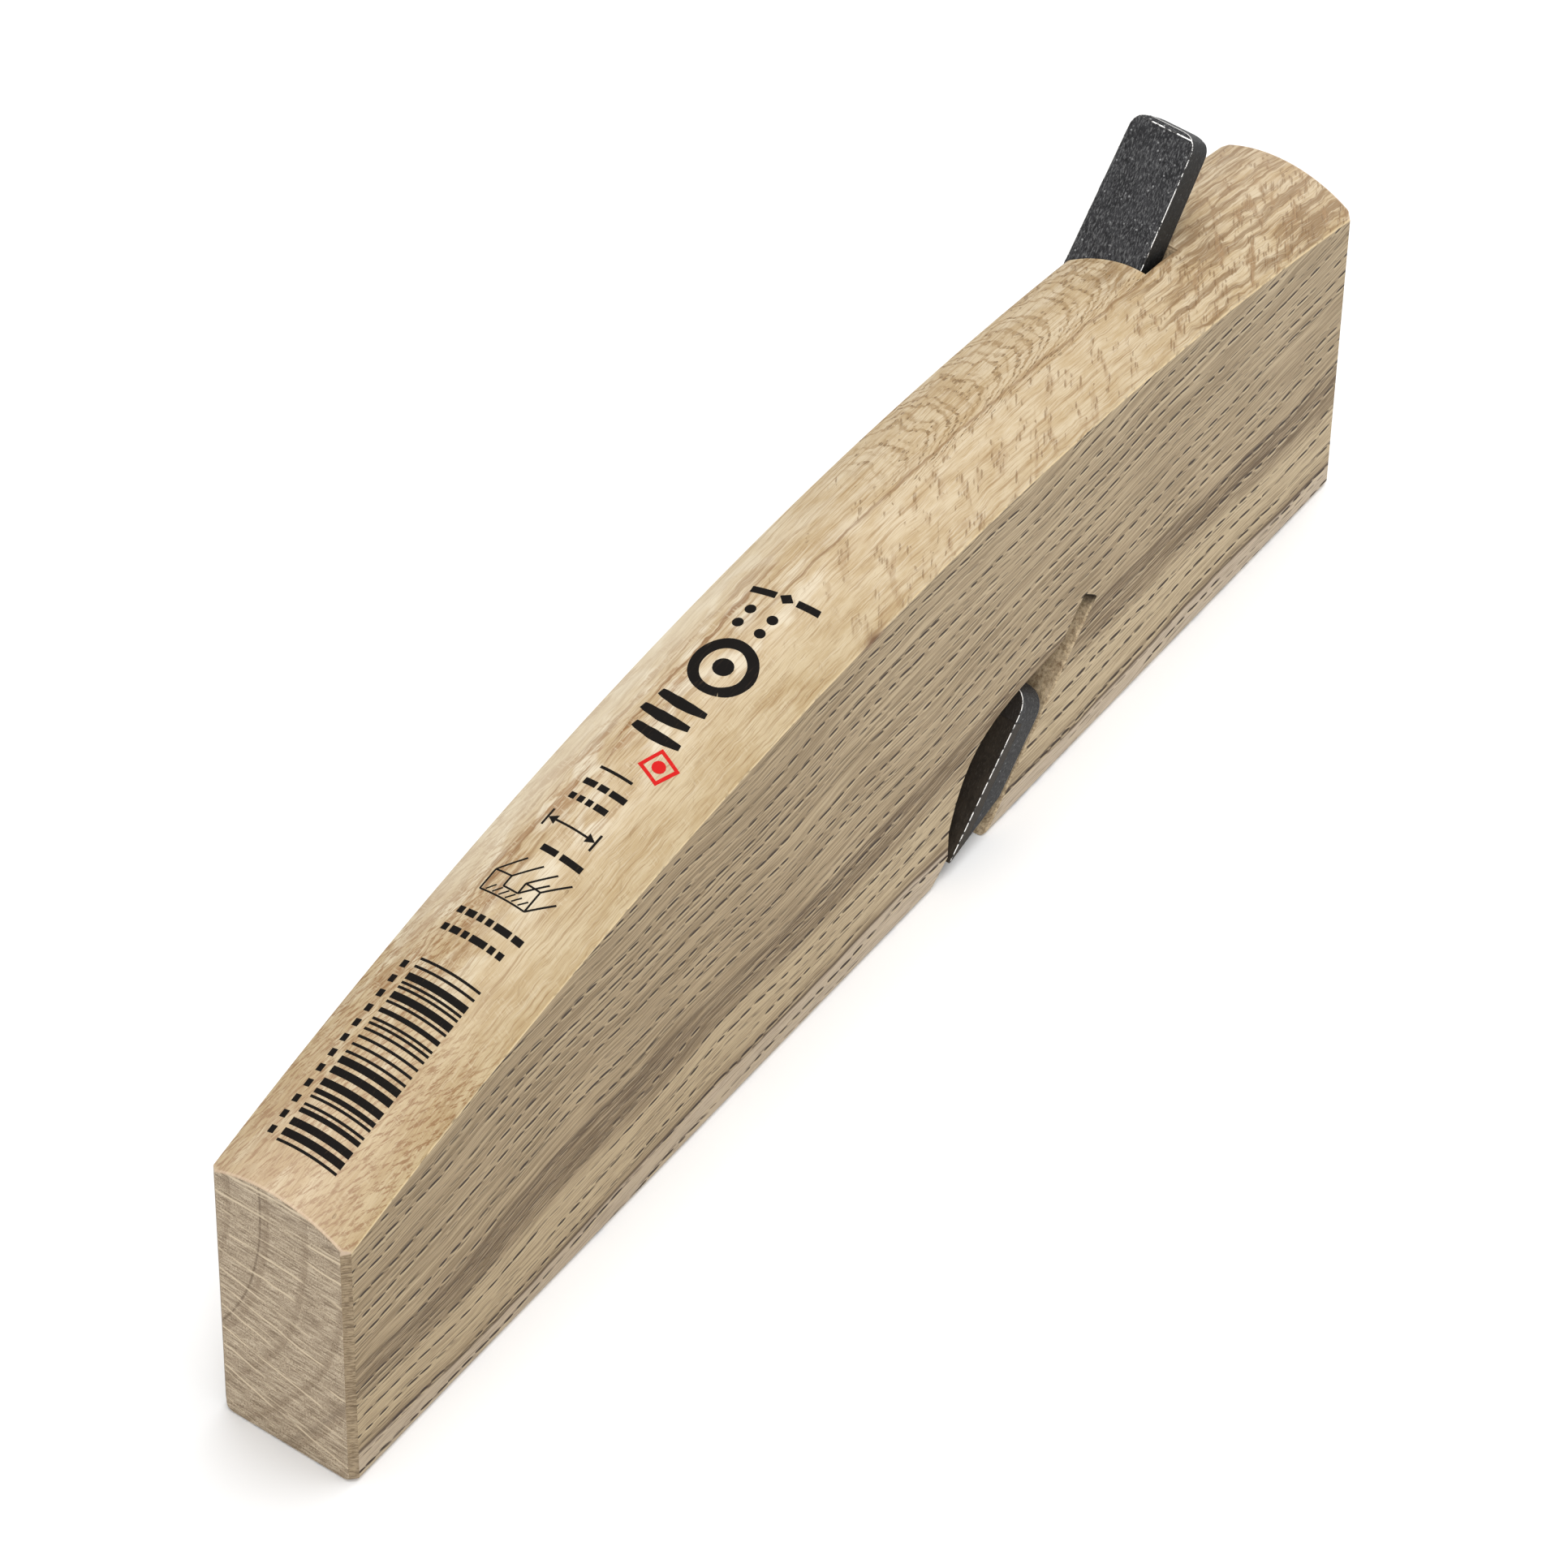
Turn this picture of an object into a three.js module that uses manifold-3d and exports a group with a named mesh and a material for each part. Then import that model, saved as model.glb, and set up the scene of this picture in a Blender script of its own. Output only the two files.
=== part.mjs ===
// A small comb-shaped grooving plane: an arched oak body with a one-piece L-shaped iron.
//
// Millimetres. +X points to the toe, +Y to the side that the shavings leave by, +Z up.
// The origin is the middle of the sole.
//
// The iron lies on a bed of about 46 degrees. Its wide head fills the mouth, and its narrow tang runs
// up a groove that is open on the -Y side of the body and leaves through the arched top. On the +Y
// side a deeper cut leaves a strip of daylight behind the head.
import * as THREE from "three";
import { mergeVertices } from "three/addons/utils/BufferGeometryUtils.js";
import Module from "manifold-3d";

const wasm = await Module();
wasm.setup();

// ---- Driving dimensions ----

const LENGTH = 180;
const WIDTH = 17.4;

// The top is arched along the body and crowned across it.
const RIDGE_RADIUS = 348;
const RIDGE_X = -9.3; // the highest point of the arch lies a little behind the middle
const RIDGE_Z = 54.2;
const CROWN_RADIUS = 15.5;
const CROWN_Y = -0.8; // the ridge runs slightly towards the -Y side
const TOP_STEPS = 36;
const CROWN_STEPS = 8; // per half turn of the crown's curve

const END_EASE = 0.9; // rounding around the toe and heel faces
const SOLE_EASE = 0.8; // chamfer along the two long edges of the sole

// The bed that the iron lies on.
const BED_ANGLE = THREE.MathUtils.degToRad(46.4);
const BED_FOOT_X = -19.3; // where the bed meets the sole
const BED_EDGE_Y = 1.5; // the bed is left standing up to here, under the tang's half of the head

// The deeper cut behind the other half of the head.
const REAR_ANGLE = THREE.MathUtils.degToRad(47);
const REAR_FOOT_X = -21.3;

// The iron. Distances "up" are along the bed from its foot, and "out" is square to the bed.
const IRON_WIDTH = 18;
const IRON_LENGTH = 82.3;
const IRON_EDGE_UP = -1.8; // the cutting edge, 2 mm above the sole
const IRON_EDGE_THICK = 4.9;
const IRON_TOP_THICK = 4.15; // the bar gets thinner towards the top
const BEVEL_ANGLE = THREE.MathUtils.degToRad(29.5);
const HEAD_LENGTH = 20.8;
const SHOULDER_RADIUS = 3;
const TANG_WIDTH_LOW = 10.3; // at the shoulder
const TANG_WIDTH_TOP = 8.15;
const TANG_CORNER_RADIUS = 2.2;
const TANG_ROOT_RADIUS = 1.5;
const IRON_END_EASE = 0.5;

// The hard steel that is forge-welded to the front of the head.
const STEEL_THICK = 1.6;
const STEEL_LENGTH = 17;
const WELD_LINE = 0.03;

// Room around the iron in its groove.
const BACK_GAP = 0.2;
const FRONT_GAP = 0.3;
const SIDE_GAP = 0.7;
const GROOVE_START_UP = 5; // inside the throat, so the mouth keeps its ramp

// The throat in front of the iron, seen from the side.
const MOUTH_FRONT_X = -11.1;
const RAMP_TOP_X = -14.6;
const RAMP_TOP_Z = 2.9;
const THROAT_WALL_TOP_Z = 7;
const THROAT_ROOF_Z = 19;
const THROAT_BACK_X = -34.1; // where the curved front wall becomes the level roof
// The curved wall heads for the first place as it leaves the wall, and for the second at the roof.
const CURVE_LOW_X = -17.3;
const CURVE_LOW_Z = 16.2;
const CURVE_HIGH_X = -19.9;
const CURVE_STEPS = 12;
// The narrow saw slot that carries the deeper cut on above the roof.
const SLOT_START_UP = 24;
const SLOT_END_UP = 29.3;
const SLOT_THICK = 3;

const PAST = 2; // how far a cutter reaches past the wood

// ---- Solids ----

function toSolid(geometry) {
  const bare = geometry.index ? geometry.toNonIndexed() : geometry.clone();
  for (const name of Object.keys(bare.attributes)) {
    if (name !== "position") {
      bare.deleteAttribute(name);
    }
  }
  const merged = mergeVertices(bare, 1e-4);
  const mesh = new wasm.Mesh({
    numProp: 3,
    vertProperties: new Float32Array(merged.attributes.position.array),
    triVerts: new Uint32Array(merged.index.array),
  });
  return new wasm.Manifold(mesh);
}

function toMesh(name, solid, material) {
  const cut = solid.getMesh();
  const geometry = new THREE.BufferGeometry();
  geometry.setAttribute("position", new THREE.BufferAttribute(cut.vertProperties, 3));
  geometry.setIndex(new THREE.BufferAttribute(cut.triVerts, 1));
  const mesh = new THREE.Mesh(geometry, material);
  mesh.name = name;
  return mesh;
}

// ---- Placing ----

const AXIS_X = new THREE.Vector3(1, 0, 0);
const AXIS_Y = new THREE.Vector3(0, 1, 0);
const AXIS_Z = new THREE.Vector3(0, 0, 1);
const BED_UP = new THREE.Vector3(-Math.cos(BED_ANGLE), 0, Math.sin(BED_ANGLE));
const BED_OUT = new THREE.Vector3(Math.sin(BED_ANGLE), 0, Math.cos(BED_ANGLE));

// A place on the side view, from distances up the bed and out of it.
function onBed(up, out) {
  return new THREE.Vector2(
    BED_FOOT_X + up * BED_UP.x + out * BED_OUT.x,
    up * BED_UP.z + out * BED_OUT.z,
  );
}

// The same for the deeper cut.
function onRear(up, out) {
  return new THREE.Vector2(
    REAR_FOOT_X - up * Math.cos(REAR_ANGLE) + out * Math.sin(REAR_ANGLE),
    up * Math.sin(REAR_ANGLE) + out * Math.cos(REAR_ANGLE),
  );
}

// Extrudes a side view, drawn as (x, z), across the body from yLow to yHigh.
function acrossBody(shape, yLow, yHigh, curveSegments) {
  const geometry = new THREE.ExtrudeGeometry(shape, {
    depth: yHigh - yLow,
    bevelEnabled: false,
    curveSegments,
  });
  const place = new THREE.Matrix4().makeBasis(AXIS_X, AXIS_Z, AXIS_Y.clone().negate());
  place.setPosition(0, yHigh, 0);
  return toSolid(geometry.applyMatrix4(place));
}

// Extrudes an outline on the bed, drawn as (up, y), out of the bed between two heights.
function outOfBed(shape, outLow, outHigh, curveSegments) {
  const geometry = new THREE.ExtrudeGeometry(shape, {
    depth: outHigh - outLow,
    bevelEnabled: false,
    curveSegments,
  });
  const place = new THREE.Matrix4().makeBasis(BED_UP, AXIS_Y, BED_OUT.clone().negate());
  const foot = onBed(0, outHigh);
  place.setPosition(foot.x, 0, foot.y);
  return toSolid(geometry.applyMatrix4(place));
}

// ---- Body ----

function ridgeHeight(x) {
  return RIDGE_Z - RIDGE_RADIUS + Math.sqrt(RIDGE_RADIUS ** 2 - (x - RIDGE_X) ** 2);
}

// The end view of the body at the highest point of the arch, drawn as (y, z).
function crownSection() {
  const half = WIDTH / 2;
  const centreZ = RIDGE_Z - CROWN_RADIUS;
  const startAngle = Math.acos((half - CROWN_Y) / CROWN_RADIUS);
  const endAngle = Math.acos((-half - CROWN_Y) / CROWN_RADIUS);
  const shape = new THREE.Shape();
  shape.moveTo(-half + SOLE_EASE, 0);
  shape.lineTo(half - SOLE_EASE, 0);
  shape.lineTo(half, SOLE_EASE);
  shape.absarc(CROWN_Y, centreZ, CROWN_RADIUS, startAngle, endAngle, false);
  shape.lineTo(-half, SOLE_EASE);
  shape.closePath();
  return shape;
}

// The block is the crowned section run along X, with its top points lowered onto the ridge's arc.
function archedBlock() {
  const geometry = new THREE.ExtrudeGeometry(crownSection(), {
    depth: LENGTH - 2 * END_EASE,
    steps: TOP_STEPS,
    curveSegments: CROWN_STEPS,
    bevelEnabled: true,
    bevelThickness: END_EASE,
    bevelSize: END_EASE,
    bevelOffset: -END_EASE,
    bevelSegments: 2,
  });
  const place = new THREE.Matrix4().makeBasis(AXIS_Y, AXIS_Z, AXIS_X);
  place.setPosition(-LENGTH / 2 + END_EASE, 0, 0);
  geometry.applyMatrix4(place);
  const position = geometry.attributes.position;
  for (let i = 0; i < position.count; i++) {
    if (position.getZ(i) > RIDGE_Z / 2) {
      position.setZ(i, position.getZ(i) - RIDGE_Z + ridgeHeight(position.getX(i)));
    }
  }
  return toSolid(geometry);
}

// The front of the throat: a short ramp at the mouth, a straight wall and a curved wall that turns
// into the roof.
function throatFront() {
  const rampSlope = (MOUTH_FRONT_X - RAMP_TOP_X) / RAMP_TOP_Z;
  const shape = new THREE.Shape();
  shape.moveTo(MOUTH_FRONT_X + PAST * rampSlope, -PAST);
  shape.lineTo(RAMP_TOP_X, RAMP_TOP_Z);
  shape.lineTo(RAMP_TOP_X, THROAT_WALL_TOP_Z);
  shape.bezierCurveTo(
    CURVE_LOW_X,
    CURVE_LOW_Z,
    CURVE_HIGH_X,
    THROAT_ROOF_Z,
    THROAT_BACK_X,
    THROAT_ROOF_Z,
  );
  return shape;
}

function lineThrough(shape, places) {
  for (const place of places) {
    shape.lineTo(place.x, place.y);
  }
  shape.closePath();
}

// The throat runs through the body and ends at the bed. On the +Y side it goes further back, to the
// deeper cut and its saw slot.
function throatCutter() {
  const bedded = throatFront();
  lineThrough(bedded, [
    onBed(THROAT_ROOF_Z / BED_UP.z, 0),
    onBed(-PAST / BED_UP.z, 0),
  ]);
  const deep = throatFront();
  lineThrough(deep, [
    onRear(SLOT_START_UP, SLOT_THICK),
    onRear(SLOT_END_UP, SLOT_THICK),
    onRear(SLOT_END_UP, 0),
    onRear(-PAST / Math.sin(REAR_ANGLE), 0),
  ]);
  const through = acrossBody(bedded, -WIDTH / 2 - PAST, WIDTH / 2 + PAST, CURVE_STEPS);
  return through.add(acrossBody(deep, BED_EDGE_Y, WIDTH / 2 + PAST, CURVE_STEPS));
}

// ---- Iron ----

// The front face's distance out of the bed, at a distance up the bed. The back lies BACK_GAP off it.
function frontOut(up) {
  const along = (up - IRON_EDGE_UP) / IRON_LENGTH;
  return BACK_GAP + IRON_EDGE_THICK + along * (IRON_TOP_THICK - IRON_EDGE_THICK);
}

// The tang's +Y edge, at a distance up the bed. The -Y edge is one straight line.
function tangEdge(up) {
  const shoulder = IRON_EDGE_UP + HEAD_LENGTH;
  const top = IRON_EDGE_UP + IRON_LENGTH;
  const width = THREE.MathUtils.mapLinear(up, shoulder, top, TANG_WIDTH_LOW, TANG_WIDTH_TOP);
  return -IRON_WIDTH / 2 + width;
}

// The iron from the side: back on the bed, front face slightly closing on it, bevel underneath.
function ironSideView() {
  const top = IRON_EDGE_UP + IRON_LENGTH;
  const frontSlope = Math.atan2(IRON_EDGE_THICK - IRON_TOP_THICK, IRON_LENGTH);
  const heelUp = IRON_EDGE_UP + IRON_EDGE_THICK / Math.tan(BEVEL_ANGLE + frontSlope);
  const places = [
    onBed(IRON_EDGE_UP, frontOut(IRON_EDGE_UP)),
    onBed(top - IRON_END_EASE, frontOut(top)),
    onBed(top, frontOut(top) - IRON_END_EASE),
    onBed(top, BACK_GAP + IRON_END_EASE),
    onBed(top - IRON_END_EASE, BACK_GAP),
    onBed(heelUp, BACK_GAP),
  ];
  return new THREE.Shape(places);
}

// The iron's outline from the front, drawn as (up, y): the straight edge at -Y, the shoulder at +Y.
function ironOutline() {
  const low = IRON_EDGE_UP - 1;
  const shoulder = IRON_EDGE_UP + HEAD_LENGTH;
  const top = IRON_EDGE_UP + IRON_LENGTH;
  const half = IRON_WIDTH / 2;
  const shape = new THREE.Shape();
  shape.moveTo(low, -half);
  shape.lineTo(top - TANG_CORNER_RADIUS, -half);
  shape.quadraticCurveTo(top, -half, top, -half + TANG_CORNER_RADIUS);
  shape.lineTo(top, tangEdge(top) - TANG_CORNER_RADIUS);
  shape.quadraticCurveTo(top, tangEdge(top), top - TANG_CORNER_RADIUS, tangEdge(top));
  shape.lineTo(shoulder + TANG_ROOT_RADIUS, tangEdge(shoulder));
  shape.quadraticCurveTo(
    shoulder,
    tangEdge(shoulder),
    shoulder,
    tangEdge(shoulder) + TANG_ROOT_RADIUS,
  );
  shape.lineTo(shoulder, half - SHOULDER_RADIUS);
  shape.quadraticCurveTo(shoulder, half, shoulder - SHOULDER_RADIUS, half);
  shape.lineTo(low, half);
  shape.closePath();
  return shape;
}

function wholeIron() {
  const bar = acrossBody(ironSideView(), -IRON_WIDTH / 2 - 1, IRON_WIDTH / 2 + 1, 1);
  const outline = outOfBed(ironOutline(), -1, IRON_EDGE_THICK + 1, 6);
  return bar.intersect(outline);
}

// The region that the facing steel takes up, a layer under the front face; a thicker layer by the
// weld line is cut away from the soft iron.
function steelRegion(extra) {
  const topUp = IRON_EDGE_UP + STEEL_LENGTH + extra;
  const lowUp = IRON_EDGE_UP - PAST;
  const depth = STEEL_THICK + extra;
  const places = [
    onBed(lowUp, frontOut(lowUp) - depth),
    onBed(lowUp, frontOut(lowUp) + 1),
    onBed(topUp, frontOut(topUp) + 1),
    onBed(topUp, frontOut(topUp) - depth),
  ];
  return acrossBody(new THREE.Shape(places), -IRON_WIDTH, IRON_WIDTH, 1);
}

// The groove for the iron: open at -Y, closed beside the tang, a little larger than the bar.
function grooveCutter() {
  const low = GROOVE_START_UP;
  const top = IRON_EDGE_UP + IRON_LENGTH + PAST;
  const side = new THREE.Shape([
    onBed(low, 0),
    onBed(low, frontOut(low) + FRONT_GAP),
    onBed(top, frontOut(top) + FRONT_GAP),
    onBed(top, 0),
  ]);
  const plan = new THREE.Shape();
  plan.moveTo(low, -WIDTH / 2 - PAST);
  plan.lineTo(top, -WIDTH / 2 - PAST);
  plan.lineTo(top, tangEdge(top) + SIDE_GAP);
  plan.lineTo(low, tangEdge(low) + SIDE_GAP);
  plan.closePath();
  const slab = acrossBody(side, -WIDTH, WIDTH, 1);
  return slab.intersect(outOfBed(plan, -1, IRON_EDGE_THICK + PAST, 1));
}

// ---- Assembly ----

function makeBody() {
  return archedBlock().subtract(throatCutter()).subtract(grooveCutter());
}

const oak = new THREE.MeshStandardMaterial({ color: 0xbfa888, roughness: 0.75, metalness: 0 });
const forgedIron = new THREE.MeshStandardMaterial({ color: 0x3c3c3f, roughness: 0.6, metalness: 0.5 });
const hardSteel = new THREE.MeshStandardMaterial({ color: 0x4a4a4e, roughness: 0.5, metalness: 0.6 });

const iron = wholeIron();
const blade = new THREE.Group();
blade.add(toMesh("blade_iron", iron.subtract(steelRegion(WELD_LINE)), forgedIron));
blade.add(toMesh("edge_steel", iron.intersect(steelRegion(0)), hardSteel));

const plane = new THREE.Group();
plane.add(toMesh("body", makeBody(), oak));
plane.add(blade);

export default plane;
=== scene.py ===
"""Looks of a small comb-shaped grooving plane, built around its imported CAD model.

The oak body, the forged iron and the print on the top are new meshes on the CAD model's own
dimensions, with node materials in the object's own coordinates. Sizes are in millimetres until a
mesh is made; the scene is in metres. +X is the toe, +Y the side the shavings leave by, +Z up.
"""

import math
import random

import bmesh
import bpy
from mathutils import Matrix, Vector, noise


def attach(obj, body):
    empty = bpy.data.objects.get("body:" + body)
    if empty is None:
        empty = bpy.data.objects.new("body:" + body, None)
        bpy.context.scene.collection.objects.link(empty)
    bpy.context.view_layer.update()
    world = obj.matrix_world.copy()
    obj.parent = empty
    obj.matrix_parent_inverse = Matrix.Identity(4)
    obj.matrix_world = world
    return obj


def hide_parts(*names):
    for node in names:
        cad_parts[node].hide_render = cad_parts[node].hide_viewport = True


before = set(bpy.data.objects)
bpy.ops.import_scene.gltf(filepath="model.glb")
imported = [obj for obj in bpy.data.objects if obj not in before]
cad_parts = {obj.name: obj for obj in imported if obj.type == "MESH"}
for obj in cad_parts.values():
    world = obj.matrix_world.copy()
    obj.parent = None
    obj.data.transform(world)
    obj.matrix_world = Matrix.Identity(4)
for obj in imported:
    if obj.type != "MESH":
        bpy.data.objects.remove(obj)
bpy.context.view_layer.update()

MM = 0.001

# ---- Driving dimensions, the same as the CAD model's ----

LENGTH = 180
HALF_WIDTH = 8.7
RIDGE_RADIUS = 348
RIDGE_X = -9.3
RIDGE_Z = 54.2
CROWN_RADIUS = 15.5
CROWN_Y = -0.8
SOLE_EASE = 0.8

BED_ANGLE = math.radians(46.4)
BED_FOOT_X = -19.3
BED_EDGE_Y = 1.5
REAR_ANGLE = math.radians(47)
REAR_FOOT_X = -21.3
IRON_WIDTH = 18
IRON_LENGTH = 82.3
IRON_EDGE_UP = -1.8
IRON_EDGE_THICK = 4.9
IRON_TOP_THICK = 4.15
BEVEL_ANGLE = math.radians(29.5)
HEAD_LENGTH = 20.8
SHOULDER_RADIUS = 3
TANG_WIDTH_LOW = 10.3
TANG_WIDTH_TOP = 8.15
TANG_CORNER_RADIUS = 2.2
TANG_ROOT_RADIUS = 1.5
IRON_END_EASE = 0.5
STEEL_THICK = 1.6
STEEL_LENGTH = 17
WELD_LINE = 0.03  # the gap between the iron's two metals

BACK_GAP = 0.2
FRONT_GAP = 0.3
SIDE_GAP = 0.7
GROOVE_START_UP = 5
MOUTH_FRONT_X = -11.1
RAMP_TOP_X = -14.6
RAMP_TOP_Z = 2.9
THROAT_WALL_TOP_Z = 7
THROAT_ROOF_Z = 19
THROAT_BACK_X = -34.1
CURVE_LOW_X = -17.3
CURVE_LOW_Z = 16.2
CURVE_HIGH_X = -19.9
SLOT_START_UP = 24
SLOT_END_UP = 29.3
SLOT_THICK = 3
PAST = 2  # how far cutters stand past what they cut

# ---- Finer shapes, which the CAD model leaves out ----

TOE_CHAMFER = 0.8  # flat chamfer on the upright corners of the toe and heel
CROWN_EASE = 0.25  # rounding where the top and the sole meet the toe and heel
ARRIS_TOE = 0.35  # rounding of the long top edges at the toe
ARRIS_HEEL = 0.7  # and at the heel, where the hand has worn them
ARRIS_GROWS_X = 20  # from here to the heel the rounding grows
ARRIS_UNEVEN = 0.12  # the share by which it wanders, over about ARRIS_WAVE
ARRIS_WAVE = 9
ARRIS_LEAST = 0.2  # what is left of it at the chamfers
CUT_EASE = 0.2  # tiny chamfer where a cut meets the outside
CUT_ROUGH = 0.1  # how far the chiselled faces wander, over about CUT_WAVE
CUT_WAVE = 1.5
GROOVE_DEEPER = 0.06  # the groove's floor lies this far under the bed
CHIP_X = 1.3  # a small chip in the +Y top edge
CHIP_REACH = 1  # the distance from its middle at which the chip has mostly faded
CHIP_SPREAD = 2.2  # and at which it has gone
CHIP_ROUND = 1.5  # how much further the edge is rounded at the chip
IRON_EDGE_ROUND = 0.18
SPARE = 1  # how far bars and outlines stand past the iron before they are cut to it
BODY_SHARP_ANGLE = 32  # in degrees, the bend from which an edge is shaded as crisp
IRON_SHARP_ANGLE = 30

# ---- Fineness of the meshes ----

SECTION_STEP = 1.0  # distance between the body's cross sections
END_STEPS = 4  # sections to each of the two eases at the toe and heel
CHIP_STEPS = 8
SOLE_STEPS = 12  # facets along each part of a cross section
SOLE_EASE_STEPS = 3
SIDE_STEPS = 16
ARRIS_STEPS = 5
CROWN_STEPS = 28
CUT_STEP = 0.7  # facet size of the cut faces
THROAT_CURVE_STEPS = 16
GROOVE_STEP = 1.4
GROOVE_FLOOR_STEPS = 14
GROOVE_WALL_STEPS = 8
IRON_CORNER_STEPS = 7
IRON_ROOT_STEPS = 6

BED_UP = Vector((-math.cos(BED_ANGLE), 0, math.sin(BED_ANGLE)))
BED_OUT = Vector((math.sin(BED_ANGLE), 0, math.cos(BED_ANGLE)))


# ---- Small helpers ----


def blend(start, end, share):
    return start + (end - start) * share


def clamp(value, low, high):
    return max(low, min(high, value))


def steps_for(length, step):
    return max(1, math.ceil(length / step))


def even(start, end, count):
    """count + 1 numbers from start to end."""
    return [blend(start, end, i / count) for i in range(count + 1)]


def on_bed(up, out, y=0):
    """A point from its distances up the bed and out of it."""
    return Vector((BED_FOOT_X, y, 0)) + BED_UP * up + BED_OUT * out


def on_rear(up, out, y=0):
    """The same along the deeper cut behind the head."""
    along = Vector((-math.cos(REAR_ANGLE), 0, math.sin(REAR_ANGLE)))
    square = Vector((math.sin(REAR_ANGLE), 0, math.cos(REAR_ANGLE)))
    return Vector((REAR_FOOT_X, y, 0)) + along * up + square * out


def ridge_height(x):
    return RIDGE_Z - RIDGE_RADIUS + math.sqrt(RIDGE_RADIUS**2 - (x - RIDGE_X) ** 2)


def crown_height(x, y):
    return ridge_height(x) - CROWN_RADIUS + math.sqrt(CROWN_RADIUS**2 - (y - CROWN_Y) ** 2)


def wander(point, size):
    """Smooth noise from 0 to 1 that changes over about size millimetres."""
    return clamp(0.5 + 0.5 * noise.noise(Vector(point) / size), 0, 1)


def add_object(name, data):
    thing = bpy.data.objects.new(name, data)
    bpy.context.scene.collection.objects.link(thing)
    return thing


def make_mesh(name, points, faces, materials):
    """An object from points in millimetres."""
    mesh = bpy.data.meshes.new(name)
    mesh.from_pydata([Vector(p) * MM for p in points], [], faces)
    for material in materials:
        mesh.materials.append(material)
    mesh.validate()
    return add_object(name, mesh)


def loft(name, rings, materials):
    """A closed solid through rings of points, with flat ends."""
    count = len(rings[0])
    points = [p for ring in rings for p in ring]
    faces = []
    for row in range(len(rings) - 1):
        for i in range(count):
            j = (i + 1) % count
            low = row * count
            faces.append((low + i, low + j, low + count + j, low + count + i))
    last = (len(rings) - 1) * count
    faces.append(tuple(reversed(range(count))))
    faces.append(tuple(range(last, last + count)))
    thing = make_mesh(name, points, faces, materials)
    outward(thing)
    return thing


def outward(thing):
    """Turns every face outward."""
    edit = bmesh.new()
    edit.from_mesh(thing.data)
    bmesh.ops.recalc_face_normals(edit, faces=edit.faces)
    edit.to_mesh(thing.data)
    edit.free()


def apply_modifiers(thing):
    graph = bpy.context.evaluated_depsgraph_get()
    made = bpy.data.meshes.new_from_object(thing.evaluated_get(graph), depsgraph=graph)
    thing.modifiers.clear()
    thing.data = made


def combine(thing, other, operation):
    """Applies an exact boolean. Faces cut by other keep other's material."""
    change = thing.modifiers.new("cut", "BOOLEAN")
    change.object = other
    change.operation = operation
    change.solver = "EXACT"
    change.material_mode = "TRANSFER"
    apply_modifiers(thing)


def discard(thing):
    bpy.data.objects.remove(thing)


def shade(thing, sharp_angle):
    """Smooth shading with flat faces kept flat and edges past sharp_angle kept crisp."""
    for face in thing.data.polygons:
        face.use_smooth = True
    thing.data.set_sharp_from_angle(angle=math.radians(sharp_angle))
    weighted = thing.modifiers.new("weighted", "WEIGHTED_NORMAL")
    weighted.keep_sharp = True


def srgb(red, green, blue):
    """A screen colour, 0 to 255, as a linear colour for a node."""
    return tuple(((c / 255 + 0.055) / 1.055) ** 2.4 for c in (red, green, blue)) + (1,)


# ---- Node arithmetic ----


class Wire:
    """A number or vector that comes out of a node, so that sums can be written as sums."""

    def __init__(self, graph, socket):
        self.graph = graph
        self.socket = socket

    def __add__(self, other):
        return self.graph.math("ADD", self, other)

    def __radd__(self, other):
        return self.graph.math("ADD", other, self)

    def __sub__(self, other):
        return self.graph.math("SUBTRACT", self, other)

    def __rsub__(self, other):
        return self.graph.math("SUBTRACT", other, self)

    def __mul__(self, other):
        return self.graph.math("MULTIPLY", self, other)

    def __rmul__(self, other):
        return self.graph.math("MULTIPLY", other, self)

    def __truediv__(self, other):
        return self.graph.math("DIVIDE", self, other)

    def __abs__(self):
        return self.graph.math("ABSOLUTE", self)

    def squared(self):
        return self * self

    def root(self):
        return self.graph.math("SQRT", self)


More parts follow.
